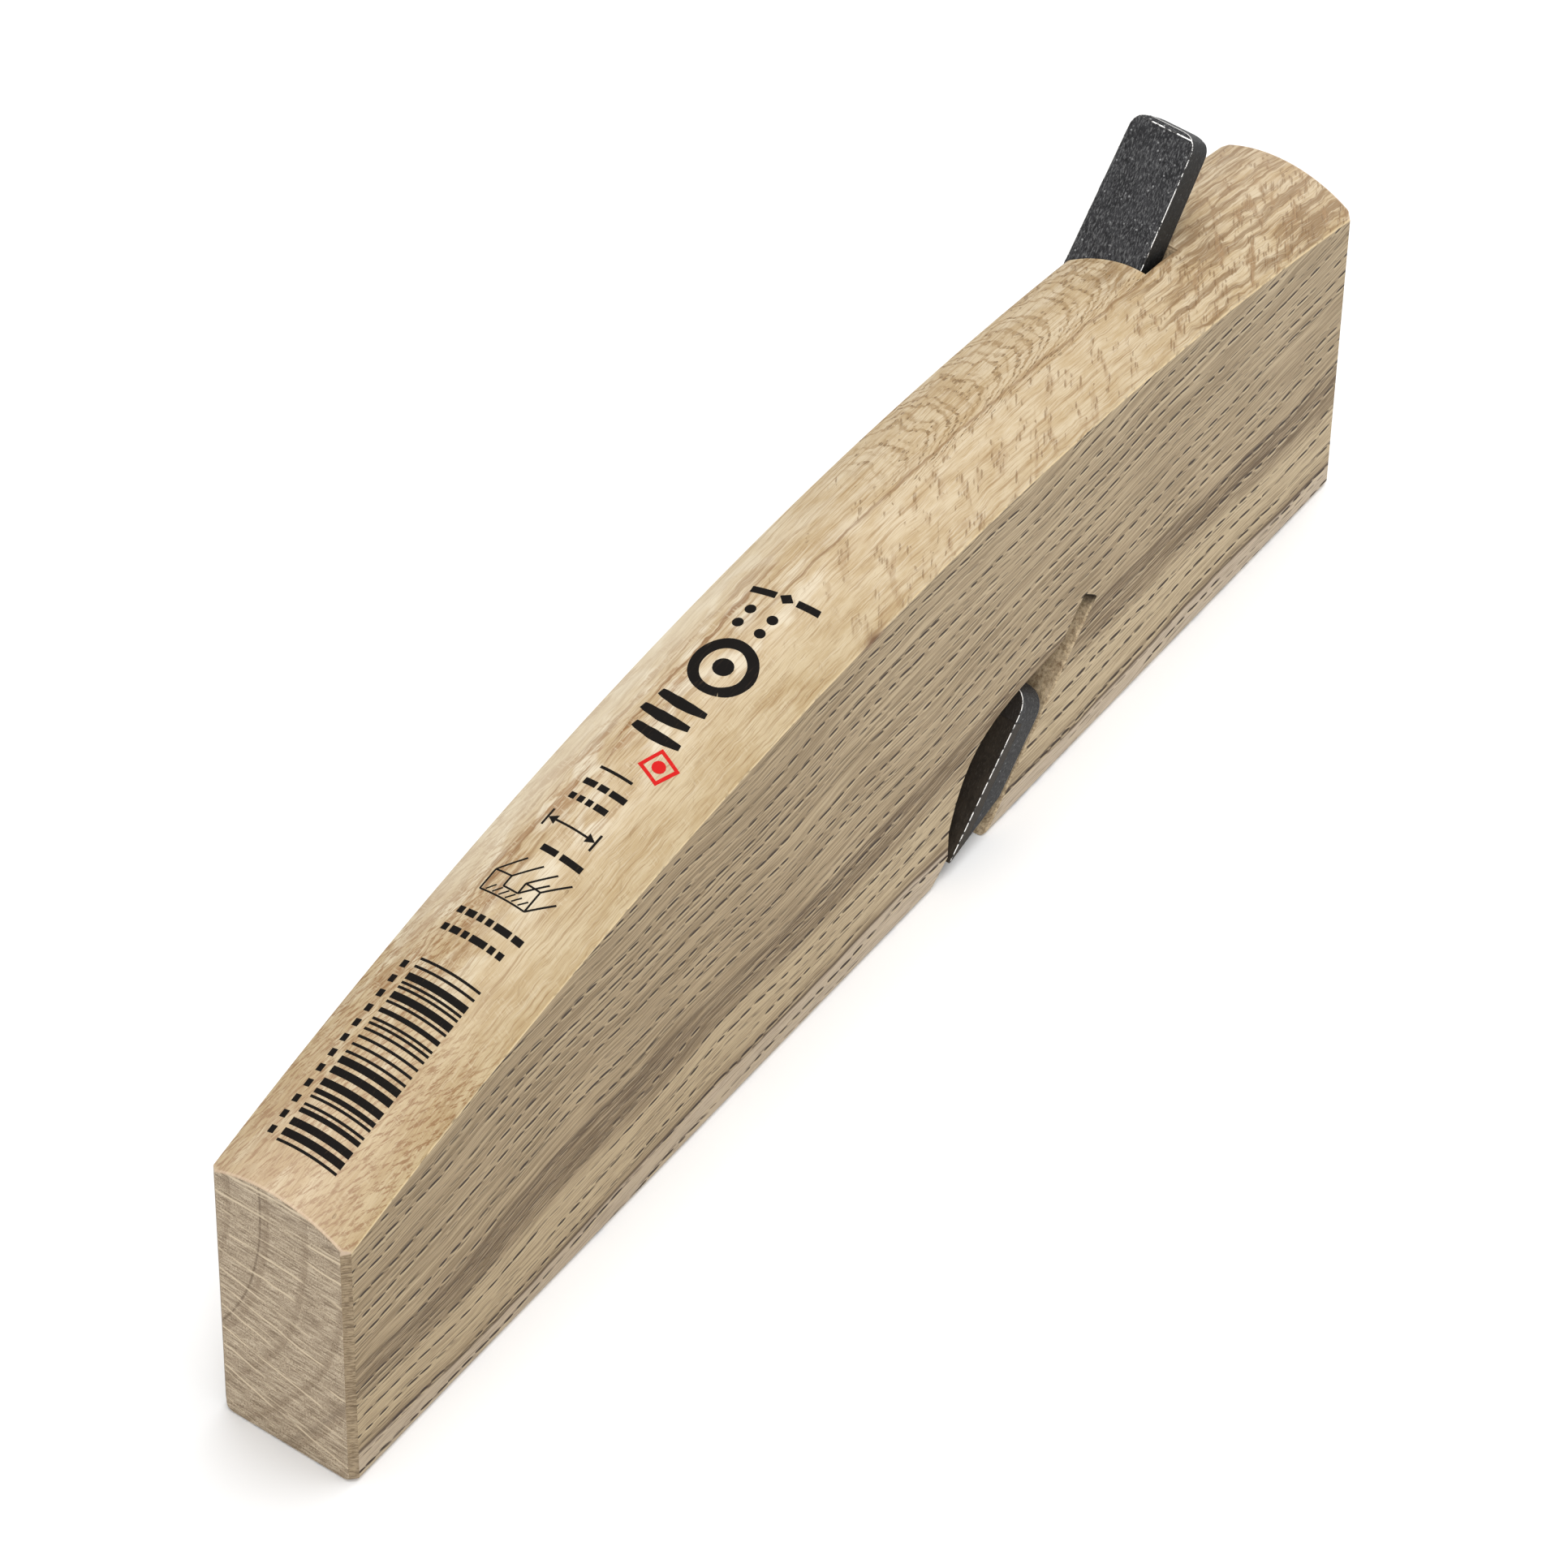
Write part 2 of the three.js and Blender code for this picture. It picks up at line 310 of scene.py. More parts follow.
class Graph:
    """One material's node tree, with a short name for each kind of node that is used."""

    def __init__(self, name):
        self.material = bpy.data.materials.new(name)
        self.material.use_nodes = True
        self.tree = self.material.node_tree
        self.tree.nodes.clear()
        self.normal = self.parts(self.add("ShaderNodeTexCoord", "Normal", {}))
        inputs = {0: self.add("ShaderNodeTexCoord", "Object", {}), "Scale": 1 / MM}
        place = self.add("ShaderNodeVectorMath", 0, inputs, operation="SCALE")
        self.x, self.y, self.z = self.parts(place)

    def node(self, kind, inputs, **settings):
        """A node with its settings and inputs. An input is a number, a colour or a wire."""
        node = self.tree.nodes.new(kind)
        for key, value in settings.items():
            setattr(node, key, value)
        for key, value in inputs.items():
            if isinstance(value, Wire):
                self.tree.links.new(value.socket, node.inputs[key])
            else:
                node.inputs[key].default_value = value
        return node

    def add(self, kind, output, inputs, **settings):
        """One output of a new node."""
        return Wire(self, self.node(kind, inputs, **settings).outputs[output])

    def math(self, operation, *values):
        return self.add("ShaderNodeMath", 0, dict(enumerate(values)), operation=operation)

    def parts(self, vector):
        node = self.node("ShaderNodeSeparateXYZ", {0: vector})
        return [Wire(self, out) for out in node.outputs]

    def vector(self, x, y, z):
        return self.add("ShaderNodeCombineXYZ", 0, {0: x, 1: y, 2: z})

    def noise(self, vector, detail=2, roughness=0.5):
        """Smooth noise, mostly from 0.3 to 0.7, one cell to each unit of vector."""
        inputs = {"Vector": vector, "Scale": 1, "Detail": detail, "Roughness": roughness}
        return self.add("ShaderNodeTexNoise", "Fac", inputs)

    def place_over(self, x_size, y_size, z_size):
        """The place counted in cells of the given millimetres along each axis."""
        return self.vector(self.x / x_size, self.y / y_size, self.z / z_size)

    def clouds(self, x_size, y_size, z_size, detail=2, roughness=0.5):
        """Solid noise with cells of the given millimetres along each axis."""
        return self.noise(self.place_over(x_size, y_size, z_size), detail, roughness)

    def flat_clouds(self, x_size, y_size, seed, detail=2, roughness=0.5):
        """Noise that is the same at every height. Each seed gives another pattern."""
        return self.noise(self.vector(self.x / x_size, self.y / y_size, seed), detail, roughness)

    def cells(self, vector):
        """Each place's offset from its cell's middle, and three random numbers for the cell."""
        node = self.node("ShaderNodeTexVoronoi", {"Vector": vector, "Scale": 1})
        ends = {0: vector, 1: Wire(self, node.outputs["Position"])}
        offset = self.add("ShaderNodeVectorMath", 0, ends, operation="SUBTRACT")
        return self.parts(offset), self.parts(Wire(self, node.outputs["Color"]))

    def spread(self, offset, pitch, size):
        """The squared distance from a cell's middle, 1 on an ellipse of the given size."""
        return sum((wire * (step / reach)).squared() for wire, step, reach in zip(offset, pitch, size))

    def dice(self, *numbers):
        """Three random numbers from 0 to 1 that belong to one set of three numbers."""
        return self.parts(self.add("ShaderNodeTexWhiteNoise", "Color", {"Vector": self.vector(*numbers)}))

    def floor(self, value):
        return self.math("FLOOR", value)

    def ramp(self, value, low, high):
        """0 below low and 1 above high, smooth between. High may be the smaller."""
        inputs = {"Value": value, "From Min": low, "From Max": high}
        if low > high:
            inputs.update({"From Min": high, "From Max": low, "To Min": 1, "To Max": 0})
        return self.add("ShaderNodeMapRange", "Result", inputs, interpolation_type="SMOOTHSTEP")

    def band(self, value, middle, reach):
        """1 at middle, falling to 0 at reach to either side."""
        return self.ramp(abs(value - middle), reach, 0)

    def mix(self, share, first, second, kind="MIX"):
        """A mix of two colours, which have the node's inputs 6 and 7 and its output 2."""
        inputs = {"Factor": share, 6: first, 7: second}
        return self.add("ShaderNodeMix", 2, inputs, data_type="RGBA", blend_type=kind)

    def coats(self, colour, *coats):
        """Lays coats of (share, red, green, blue) over a colour, one after another."""
        for share, red, green, blue in coats:
            colour = self.mix(share, colour, srgb(red, green, blue))
        return colour

    def bump(self, height, millimetres, under=None):
        """Turns a 0 to 1 height into a normal, under which another bump may lie."""
        inputs = {"Strength": 1, "Distance": millimetres * MM, "Height": height}
        if under:
            inputs["Normal"] = under
        return self.add("ShaderNodeBump", "Normal", inputs)

    def surface(self, colour, roughness, normal=None, metallic=0.0, specular=0.5):
        """Ends the tree in one Principled shader."""
        inputs = {
            "Base Color": colour,
            "Roughness": roughness,
            "Metallic": metallic,
            "Specular IOR Level": specular,
        }
        if normal:
            inputs["Normal"] = normal
        shader = self.add("ShaderNodeBsdfPrincipled", 0, inputs)
        self.node("ShaderNodeOutputMaterial", {"Surface": shader})
        return self.material


# ---- Oak ----

PITH_Y = -45  # the tree's heart lies this far off the body, to the -Y side
PITH_Z = 36
RAY_Y = -75  # the rays are bent, and run as if from a heart further off
RAY_RADIUS = 83.7
GRAIN_FALL = 0.055  # how much the rows of rays fall towards the toe
DASH_PITCH = 2.3  # between one ray and the next along a row


class Timber(Graph):
    """The tree's own coordinates and the features that lie in them."""

    def __init__(self, name):
        super().__init__(name)
        sway = self.clouds(42, 30, 30, 1) - 0.5
        ripple = self.noise(self.vector(self.x / 9, self.y / 6, self.z / 6 + 5)) - 0.5
        across = self.y - PITH_Y
        height = self.z - PITH_Z + sway * 6.5 + ripple * 0.9
        self.radius = (across.squared() + height.squared()).root()
        lean = self.z - PITH_Z + self.x * GRAIN_FALL + sway * 6 + ripple * 1.1
        self.turn = self.math("ARCTAN2", lean, self.y - RAY_Y) * RAY_RADIUS
        self.above = self.z - self.corner_height()
        self.top = self.ramp(self.above, -0.32, -0.12)
        self.end = self.ramp(abs(self.normal[0]), 0.8, 0.95)
        self.side = self.ramp(abs(self.normal[1]), 0.8, 0.97)
        self.grain = self.clouds(0.5, 0.16, 0.16, 3)

    def corner_height(self):
        """Where the crowned top would meet the two sides, as a height at each x and y."""
        arch = (RIDGE_RADIUS**2 - (self.x - RIDGE_X).squared()).root() + (RIDGE_Z - RIDGE_RADIUS)
        right = CROWN_RADIUS - math.sqrt(CROWN_RADIUS**2 - (HALF_WIDTH - CROWN_Y) ** 2)
        left = CROWN_RADIUS - math.sqrt(CROWN_RADIUS**2 - (HALF_WIDTH + CROWN_Y) ** 2)
        return arch - (left + right) / 2 - self.y * ((right - left) / 2 / HALF_WIDTH)

    def lanes(self, pitch, shift):
        """The ray that a place is nearest to, its distance from it, and a random number for the ray."""
        lane = self.turn / pitch + shift
        row = self.floor(lane)
        luck = self.dice(row, shift, 0.5)
        return row, (lane - row - 0.5 + (luck[0] - 0.5) * 0.35) * pitch, luck[1]

    def rows(self, pitch, thick, shift):
        """Rays cut across: dashes that follow one another along wavy rows, and a light line by each."""
        row, off, luck = self.lanes(pitch, shift)
        along = self.x / DASH_PITCH + luck * 9
        cell = self.floor(along)
        chance = self.dice(row, cell, shift + 3)
        place = (along - cell - 0.5 + (chance[2] - 0.5) * 0.25) * DASH_PITCH
        slant = off - place * 0.06 + (chance[1] - 0.5) * 0.14
        reach = (place / (chance[0] * 0.75 + 0.68)).squared()
        kept = self.ramp(self.noise(self.vector(self.x / 15, row * 5.1, shift)), 0.4, 0.48)
        dash = self.ramp(reach + (slant / thick).squared(), 1.15, 0.55) * kept
        light = self.ramp(reach + ((slant + thick * 1.9) / (thick * 0.8)).squared(), 1.1, 0.5) * kept
        return dash, light

    def sheets(self, pitch, thick, shift):
        """The same rays on an end face, as long fine lines running out from the heart."""
        row, off, _ = self.lanes(pitch, shift)
        kept = self.ramp(self.noise(self.vector(self.y / 5, row * 3.3, shift)), 0.4, 0.56)
        return self.ramp(abs(off), thick, thick * 0.3) * kept

    def pores(self, pitch, size, crowd):
        """Small vessels scattered one to a cell, where crowd is above about a half."""
        offset, chance = self.cells(self.place_over(*pitch))
        spot = self.ramp(self.spread(offset, pitch, size), 1.3, 0.4)
        return spot * self.ramp(chance[0] * 0.6 + crowd, 0.85, 0.95)

    def streaks(self, length, width, shift=0):
        """Long fine streaks along the grain."""
        place = self.vector(self.x / length + shift, self.turn / width, self.radius / width)
        return self.noise(place, 3, 0.6)


# Radii from the heart to the growth rings that show on the +Y side.
BAND_START = 56.1
BAND_END = 58.5
LINE_RADIUS = 62.4


def side_figure(g, dash, light, fine):
    """Grey tan wood with rows of dark dashes, a broad brown band and one thin dark growth line."""
    broad = g.streaks(36, 1.3, 7)
    threads = g.streaks(26, 0.2, 11)
    wisps = g.streaks(11, 0.14, 3)
    band = g.ramp(g.radius, BAND_START, BAND_START + 0.3) * g.ramp(g.radius, BAND_END, BAND_END - 1.1)
    rim = g.band(g.radius, BAND_START + 0.2, 0.16)
    pale = g.ramp(g.radius, BAND_END - 0.4, BAND_END + 0.1)
    pale = pale * g.ramp(g.radius, LINE_RADIUS - 0.5, LINE_RADIUS - 1.2)
    line = g.band(g.radius, LINE_RADIUS, 0.27)
    below = g.ramp(g.radius, LINE_RADIUS - 0.1, LINE_RADIUS + 0.2)
    return g.coats(
        g.mix(g.ramp(fine, 0.38, 0.62), srgb(146, 129, 102), srgb(187, 170, 143)),
        (g.ramp(broad, 0.42, 0.66) * 0.3, 138, 119, 93),
        (pale * 0.75, 204, 188, 160),
        (band * g.ramp(broad, 0.3, 0.58) * 0.6, 120, 101, 73),
        (band * g.ramp(threads, 0.47, 0.54) * 0.85, 90, 70, 48),
        (rim * g.ramp(broad, 0.4, 0.55) * 0.7, 82, 62, 42),
        (pale * g.ramp(threads, 0.54, 0.62) * 0.6, 118, 96, 69),
        (below * 0.8, 206, 194, 181),
        (g.ramp(wisps, 0.52, 0.61) * 0.5, 114, 96, 71),
        (g.ramp(wisps, 0.47, 0.38) * 0.5, 208, 193, 167),
        (line * 0.9, 74, 52, 32),
        (light * 0.6, 212, 198, 170),
        (dash, 54, 37, 20),
    )


def nested_arcs(g, wobble):
    """Growth rings that the top cuts as a nest of U shapes, open towards the toe.

    Gives the thin squiggly lines of the rings and the broader zones that they crowd in.
    """
    squiggle = g.flat_clouds(1.1, 0.7, 14, 3, 0.6) - 0.5
    leg = abs(g.y + 4.6 + wobble * 1.4) / 5.4
    climb = leg.squared() * leg.squared()
    apex = g.x - climb * 13 + wobble * 5.5
    within = g.ramp(leg, 1.12, 0.95) * g.ramp(g.x, -62, -58) * g.ramp(g.x, -8, -24)
    zone = g.ramp(abs(g.math("FRACT", apex / 4.4) - 0.5), 0.5, 0.26) * within
    contour = g.math("FRACT", (apex + squiggle * 3.2) / 1.9)
    return g.ramp(abs(contour - 0.5), 0.32, 0.08) * zone, zone


def flecks(g, angle, pitch, size, bend):
    """Short marks that lean about the same way, and a random number for each."""
    turn = math.radians(angle)
    along = g.x * math.cos(turn) + g.y * math.sin(turn) + bend
    across = g.y * math.cos(turn) - g.x * math.sin(turn)
    offset, chance = g.cells(g.vector(along / pitch[0], across / pitch[1], 0))
    return g.ramp(g.spread(offset, pitch, size), 1.25, 0.1), chance[0]


def top_streaks(g, wobble, flame, ahead, behind):
    """Cream wood with fine lines, brown streaks and curls, and one seam along the middle."""
    blotch = g.flat_clouds(7, 2.6, 2, 3, 0.6)
    lines = g.noise(g.vector(g.x / 11, (g.y + wobble * 0.5) / 0.3, 3), 3, 0.65)
    streak = g.noise(g.vector(g.x / 13, (g.y + wobble * 1.6) / 0.8, 6), 3, 0.6)
    cream = g.ramp(g.flat_clouds(6, 2.2, 21), 0.48, 0.62) * g.ramp(g.y, 4, 1)
    toe = g.ramp(g.x, 56, 72)
    brown = g.ramp(streak, 0.49, 0.62) * g.band(g.y, -4, 5.5) * (ahead * 0.8 + 0.08)
    curl = g.ramp(flame, 0.5, 0.6) * g.ramp(g.y, 0.5, -3.5) * g.ramp(g.x, 10, 20)
    seam = g.band(g.y + g.x * 0.028 + 0.75 + wobble * 1.2, 0, 0.3) * g.ramp(g.x, -64, -56)
    colour = g.coats(
        g.mix(g.ramp(blotch, 0.35, 0.65), srgb(232, 213, 180), srgb(212, 187, 147)),
        (cream * (ahead * 0.6 + 0.3), 248, 236, 212),
        (g.ramp(lines, 0.5, 0.68) * 0.6, 168, 132, 88),
        (g.ramp(lines, 0.46, 0.34) * 0.5, 238, 222, 196),
        (brown * (1 - toe * 0.7), 150, 106, 60),
        (curl * (0.7 - toe * 0.45), 166, 120, 70),
        (seam * g.ramp(g.x, 20, -5) * 0.7, 140, 100, 60),
        (behind * g.ramp(streak, 0.45, 0.58) * 0.75, 146, 114, 76),
    )
    return colour, blotch


def slanted_flecks(g, wobble, ahead, behind):
    """Slanted flecks in clusters, mostly on the +Y half, and the haze that the clusters lie in."""
    slanted = g.vector((g.x * 0.8 + g.y * 0.6) / 4, (g.y * 0.8 - g.x * 0.6) / 1.3, 12)
    cluster = g.noise(slanted)
    side_half = g.ramp(g.y, -0.6, 1.4) * g.ramp(g.x, 14, -10)
    fleck, chance = flecks(g, 34, (1.45, 0.42), (0.64, 0.12), wobble * 4)
    fleck = fleck * g.ramp(chance * 0.24 + cluster + side_half * 0.12 + behind * 0.07, 0.8, 0.88)
    haze = g.ramp(cluster, 0.52, 0.7) * (side_half * 0.5 + behind * 0.45)
    return fleck * (1 - ahead * 0.75), haze


def toe_flames(g):
    """Short brown flames that slant across the top near the toe."""
    flames = g.noise(g.vector((g.x - g.y) / 2.6, (g.x + g.y * 3) / 1.1, 5), 4, 0.7)
    place = g.math("MAXIMUM", g.ramp(g.x, 60, 72), g.ramp(g.x - g.y * 3, 50, 70))
    return g.ramp(flames, 0.5, 0.58) * place


def silk_flecks(g, wobble, flame, ahead):
    """Pale silky flecks, nearly square to the grain, on the front half."""
    silk, chance = flecks(g, 78, (1.3, 0.4), (0.5, 0.12), wobble * 3)
    return silk * g.ramp(chance, 0.5, 0.7) * g.ramp(flame, 0.46, 0.58) * ahead


def top_figure(g):
    """Cream wood: nested arcs of pores behind the middle, brown streaks and flames ahead of it."""
    wobble = g.flat_clouds(4, 4, 8, 3) - 0.5
    flame = g.noise(g.vector(g.x / 5 + g.y / 2.4, g.y / 1.5, 1), 4, 0.65)
    hairs = g.noise(g.vector(g.x / 3.5, (g.y + wobble) / 0.11, 3), 2, 0.6)
    ahead = g.ramp(g.x, -12, 12)
    behind = g.ramp(g.x, -52, -60)
    colour, blotch = top_streaks(g, wobble, flame, ahead, behind)
    ring, zone = nested_arcs(g, wobble)
    pores = g.pores((0.8, 0.36, 3), (0.36, 0.13, 3), ring * 0.3 + blotch * 0.5 - 0.02)
    fleck, haze = slanted_flecks(g, wobble, ahead, behind)
    colour = g.coats(
        colour,
        (zone * 0.1, 196, 168, 128),
        (ring * 0.65, 170, 138, 94),
        (pores * 0.6, 144, 110, 72),
        (fleck * 0.68, 144, 110, 72),
        (haze, 180, 148, 110),
        (toe_flames(g) * 0.85, 160, 114, 62),
        (silk_flecks(g, wobble, flame, ahead) * 0.4, 240, 224, 196),
        (g.ramp(hairs, 0.52, 0.7) * 0.45, 160, 124, 80),
        (g.ramp(hairs, 0.46, 0.32) * 0.4, 242, 228, 204),
    )

    # The wood grows more golden towards the toe and the +Y edge, and paler at the -Y edge.
    golden = g.math("MAXIMUM", g.ramp(g.x, 34, 84), g.ramp(g.y, 1, 5) * ahead * 0.5)
    colour = g.mix(golden, colour, (0.82, 0.785, 0.665, 1), "MULTIPLY")
    pale = g.ramp(g.y, -3, -7.5) * g.ramp(g.x, 66, 50) * ahead
    colour = g.coats(colour, (pale * 0.55, 250, 238, 214))
    return colour, g.math("MAXIMUM", pores, fleck * 0.7)


def end_figure(g):
    """Grey brown end grain: speckle, saw marks, pale lines along the rays and darker growth rings."""
    speckle = g.clouds(1, 0.2, 0.2, 3, 0.75)
    cloud = g.clouds(1, 3, 3)
    sawn = g.clouds(1, 2.6, 0.3, 3, 0.65)
    phase = g.math("FRACT", g.radius / 4.9)
    rings = g.ramp(phase, 0.72, 0.9) * g.ramp(phase, 1, 0.94)
    dark = g.band(g.radius, 57.5, 0.7)
    line = g.band(g.radius, 42.8, 0.25)
    pores = g.pores((3, 0.5, 0.5), (3, 0.1, 0.1), rings * 0.3 + 0.25)
    rays = g.math("MAXIMUM", g.sheets(3.7, 0.24, 0.2), g.sheets(2.3, 0.12, 7.4) * 0.7)
    colour = g.coats(
        g.mix(g.ramp(speckle, 0.36, 0.64), srgb(138, 121, 99), srgb(202, 186, 162)),
        (g.ramp(cloud, 0.35, 0.65) * 0.4, 164, 148, 126),
        (g.ramp(sawn, 0.51, 0.62) * 0.6, 112, 94, 72),
        (g.ramp(sawn, 0.47, 0.37) * 0.5, 220, 206, 182),
        (rings * 0.4, 132, 113, 90),
        (dark * 0.5, 124, 108, 88),
        (line * 0.6, 96, 76, 54),
        (pores * 0.6, 96, 76, 54),
        (rays * 0.85, 222, 206, 178),
    )
    return colour, sawn


def worn_oak_with_edge_highlights(g, colour):
    """A painted pale golden highlight along the long top edges, a bruise at the chip, chamfers across the
    grain, and a painted pale pink highlight where the top eases into the toe and heel.
    """
    facing_x = abs(g.normal[0])
    facing_y = abs(g.normal[1])
    # Painted highlight: a pale golden line along the long top edges, broken by nicks.
    arris = g.band(g.above, -0.16, 0.26) * g.ramp(facing_y, 0.5, 0.6)
    nicks = g.clouds(1.2, 1, 1, 3)
    bruise = g.band(g.x, CHIP_X, 3.2) * g.band(g.above, -0.3, 0.8) * g.ramp(g.y, 6.8, 7.8)
    chamfer = g.ramp(facing_x, 0.4, 0.55) * g.ramp(facing_x, 0.9, 0.8) * g.ramp(facing_y, 0.4, 0.55)
    ticks = g.clouds(1, 1, 0.22, 3, 0.7)
    cut = g.mix(g.ramp(ticks, 0.38, 0.62), srgb(108, 89, 65), srgb(160, 141, 112))
    # Painted highlight: a pale pink line where the top rounds over into the toe and heel.
    rim = g.ramp(facing_x, 0.15, 0.4) * g.ramp(facing_x, 0.97, 0.8) * g.top
    colour = g.coats(
        colour,
        (arris * g.ramp(nicks, 0.3, 0.5) * 0.85, 226, 202, 158),
        (bruise * 0.9, 104, 70, 44),
    )
    colour = g.mix(chamfer * 0.85, colour, cut)
    return g.coats(colour, (rim * 0.6, 214, 190, 166))


# How much of the light each face gives back, next to the colours of its figure.
TOP_TONE = (0.665, 0.65, 0.62, 1)
SIDE_TONE_TOE = (0.785, 0.725, 0.62, 1)
SIDE_TONE_HEEL = (0.90, 0.855, 0.77, 1)
END_TONE = (0.875, 0.85, 0.82, 1)


def oak_outside():
    """The planed faces, each with the figure that its cut through the tree shows."""
    g = Timber("oak_outside")
    dash, light = g.rows(2.7, 0.19, 0.2)
    dash_two, light_two = g.rows(2.1, 0.13, 6.4)
    dash = g.math("MAXIMUM", dash, dash_two * 0.5)
    light = g.math("MAXIMUM", light, light_two * 0.5)
    fine = g.streaks(14, 0.4)
    side_tone = g.mix(g.ramp(g.x, 40, -25), SIDE_TONE_TOE, SIDE_TONE_HEEL)
    side = g.mix(1.0, side_figure(g, dash, light, fine), side_tone, "MULTIPLY")
    top, hollows = top_figure(g)
    top = g.mix(1.0, top, TOP_TONE, "MULTIPLY")
    end, sawn = end_figure(g)
    end = g.mix(1.0, end, END_TONE, "MULTIPLY")
    colour = worn_oak_with_edge_highlights(g, g.mix(g.end, g.mix(g.top, side, top), end))
    roughness = g.top * -0.1 + g.end * 0.12 + g.grain * 0.2 + 0.52
    normal = g.bump(g.grain, 0.03)
    normal = g.bump(sawn * g.end, 0.06, normal)
    normal = g.bump(fine, 0.03, normal)
    hollow = g.math("MAXIMUM", dash * g.side, hollows * g.top)
    normal = g.bump(1 - hollow, 0.07, normal)
    return g.surface(colour, roughness, normal, specular=0.3)


def oak_cut():
    """The sawn and chiselled faces inside the throat and the groove, with a painted highlight along their
    edges and painted shade deeper in and at the saw slot's end.
    """
    g = Timber("oak_cut")
    fine = g.streaks(9, 0.5)
    fuzz = g.clouds(0.35, 0.35, 0.35, 4, 0.75)
    tool = g.clouds(1.4, 5, 1.4)
    depth = HALF_WIDTH - abs(g.y)
    # Painted highlight: a pale line along the cut's edge where it meets a side face.
    lip_highlight = g.ramp(depth, 0.24, 0.16) * g.ramp(g.normal[0], 0.1, -0.1)
    # Painted shade: the cut faces grow darker the deeper they lie inside the body.
    inside = g.ramp(depth, 0.8, 4.5)
    # Painted shadow: near black at the end of the saw slot.
    up = g.z * math.sin(REAR_ANGLE) - (g.x - REAR_FOOT_X) * math.cos(REAR_ANGLE)
    slot_tip_shadow = g.band(up, SLOT_END_UP + 0.2, 1.9) * g.ramp(g.y, BED_EDGE_Y, BED_EDGE_Y + 2)
    colour = g.coats(
        g.mix(g.ramp(fine, 0.35, 0.65), srgb(158, 138, 110), srgb(196, 176, 146)),
        (g.ramp(fuzz, 0.48, 0.64) * 0.8, 216, 194, 158),
        (g.ramp(fuzz, 0.46, 0.34) * 0.6, 108, 84, 58),
        (g.ramp(tool, 0.55, 0.75) * 0.3, 120, 92, 62),
        (lip_highlight * 0.85, 232, 210, 168),
        (inside * 0.5, 104, 80, 54),
        (slot_tip_shadow * 0.95, 30, 22, 15),
    )
    normal = g.bump(tool, 0.12)
    normal = g.bump(fuzz, 0.2, normal)
    return g.surface(colour, fuzz * 0.2 + 0.75, normal, specular=0.15)


# ---- Metal and ink ----


def scale_pattern(g):
    """Forge scale: fine grit that runs slanting up the bar, and larger patches."""
    up = g.z * BED_UP.z + g.x * BED_UP.x
    out = g.z * BED_OUT.z + g.x * BED_OUT.x
    slanted = g.vector((up + g.y * 0.6) / 0.5, g.y / 0.18, out / 0.18)
    grit = g.noise(slanted, 3, 0.75)
    return grit, g.clouds(3, 2.4, 3, 3, 0.6)


def hammer_marks(g):
    return g.clouds(7, 6, 7, 0)


def bright_grains(g):
    """A few small grains where the scale has rubbed through."""
    offset, chance = g.cells(g.place_over(0.5, 0.5, 0.5))
    near = g.spread(offset, (1, 1, 1), (1, 1, 1))
    return g.ramp(near, 0.08, 0.015) * g.ramp(chance[0], 0.62, 0.9)


def forged_iron():
    """Charcoal scale with lighter grit, painted shade on the flanks, and painted shade with a brown
    reflection on the front face in the throat.
    """
    g = Graph("forged_iron")
    grit, patch = scale_pattern(g)
    # Painted shade: the +Y flanks darker, and darker still higher up the tang.
    flank_shade = g.ramp(g.normal[1], 0.5, 0.8)
    # Painted shade with a painted brown reflection of the oak, on the front face low in the throat.
    front = g.ramp(g.normal[0], 0.4, 0.6) * g.ramp(g.z, 27, 21)
    colour = g.coats(
        g.mix(g.ramp(patch, 0.35, 0.65), srgb(40, 40, 42), srgb(56, 56, 58)),
        (g.ramp(grit, 0.5, 0.64) * 0.7, 112, 112, 112),
        (g.ramp(grit, 0.47, 0.36) * 0.8, 16, 16, 16),
        (bright_grains(g) * 0.6, 170, 170, 170),
        (flank_shade * (g.ramp(g.z, 24, 34) * 0.4 + 0.35), 10, 12, 11),
        (front * 0.85, 40, 34, 28),
    )
    roughness = patch * 0.2 + grit * 0.2 + 0.42
    normal = g.bump(hammer_marks(g), 0.25)
    normal = g.bump(patch, 0.08, normal)
    normal = g.bump(grit, 0.05, normal)
    return g.surface(colour, roughness, normal, metallic=0.3, specular=0.3)


def worn_edge():
    """The iron's rubbed edges: bright metal broken by leftover scale."""
    g = Graph("worn_edge")
    grit, patch = scale_pattern(g)
    wear = g.clouds(0.9, 0.9, 0.9, 4, 0.75)
    bare = g.ramp(wear, 0.45, 0.5)
    colour = g.mix(bare, srgb(54, 53, 52), srgb(236, 234, 230))
    roughness = (1 - bare) * 0.25 + grit * 0.1 + 0.25
    normal = g.bump(patch, 0.05)
    normal = g.bump(grit, 0.04, normal)
    return g.surface(colour, roughness, normal, metallic=bare * 0.4 + 0.4)


def ground_steel():
    """The ground bevel: fine scratches across a satin face."""
    g = Graph("ground_steel")
    up = g.z * 0.73 - g.x * 0.68  # about up the bar
    scratch = g.noise(g.vector(up / 0.07, g.y / 5, 0), 3, 0.7)
    cloud = g.clouds(3, 3, 3)
    colour = g.mix(scratch, srgb(150, 150, 150), srgb(192, 191, 188))
    roughness = scratch * 0.18 + cloud * 0.12 + 0.2
    return g.surface(colour, roughness, g.bump(scratch, 0.008), metallic=1.0)


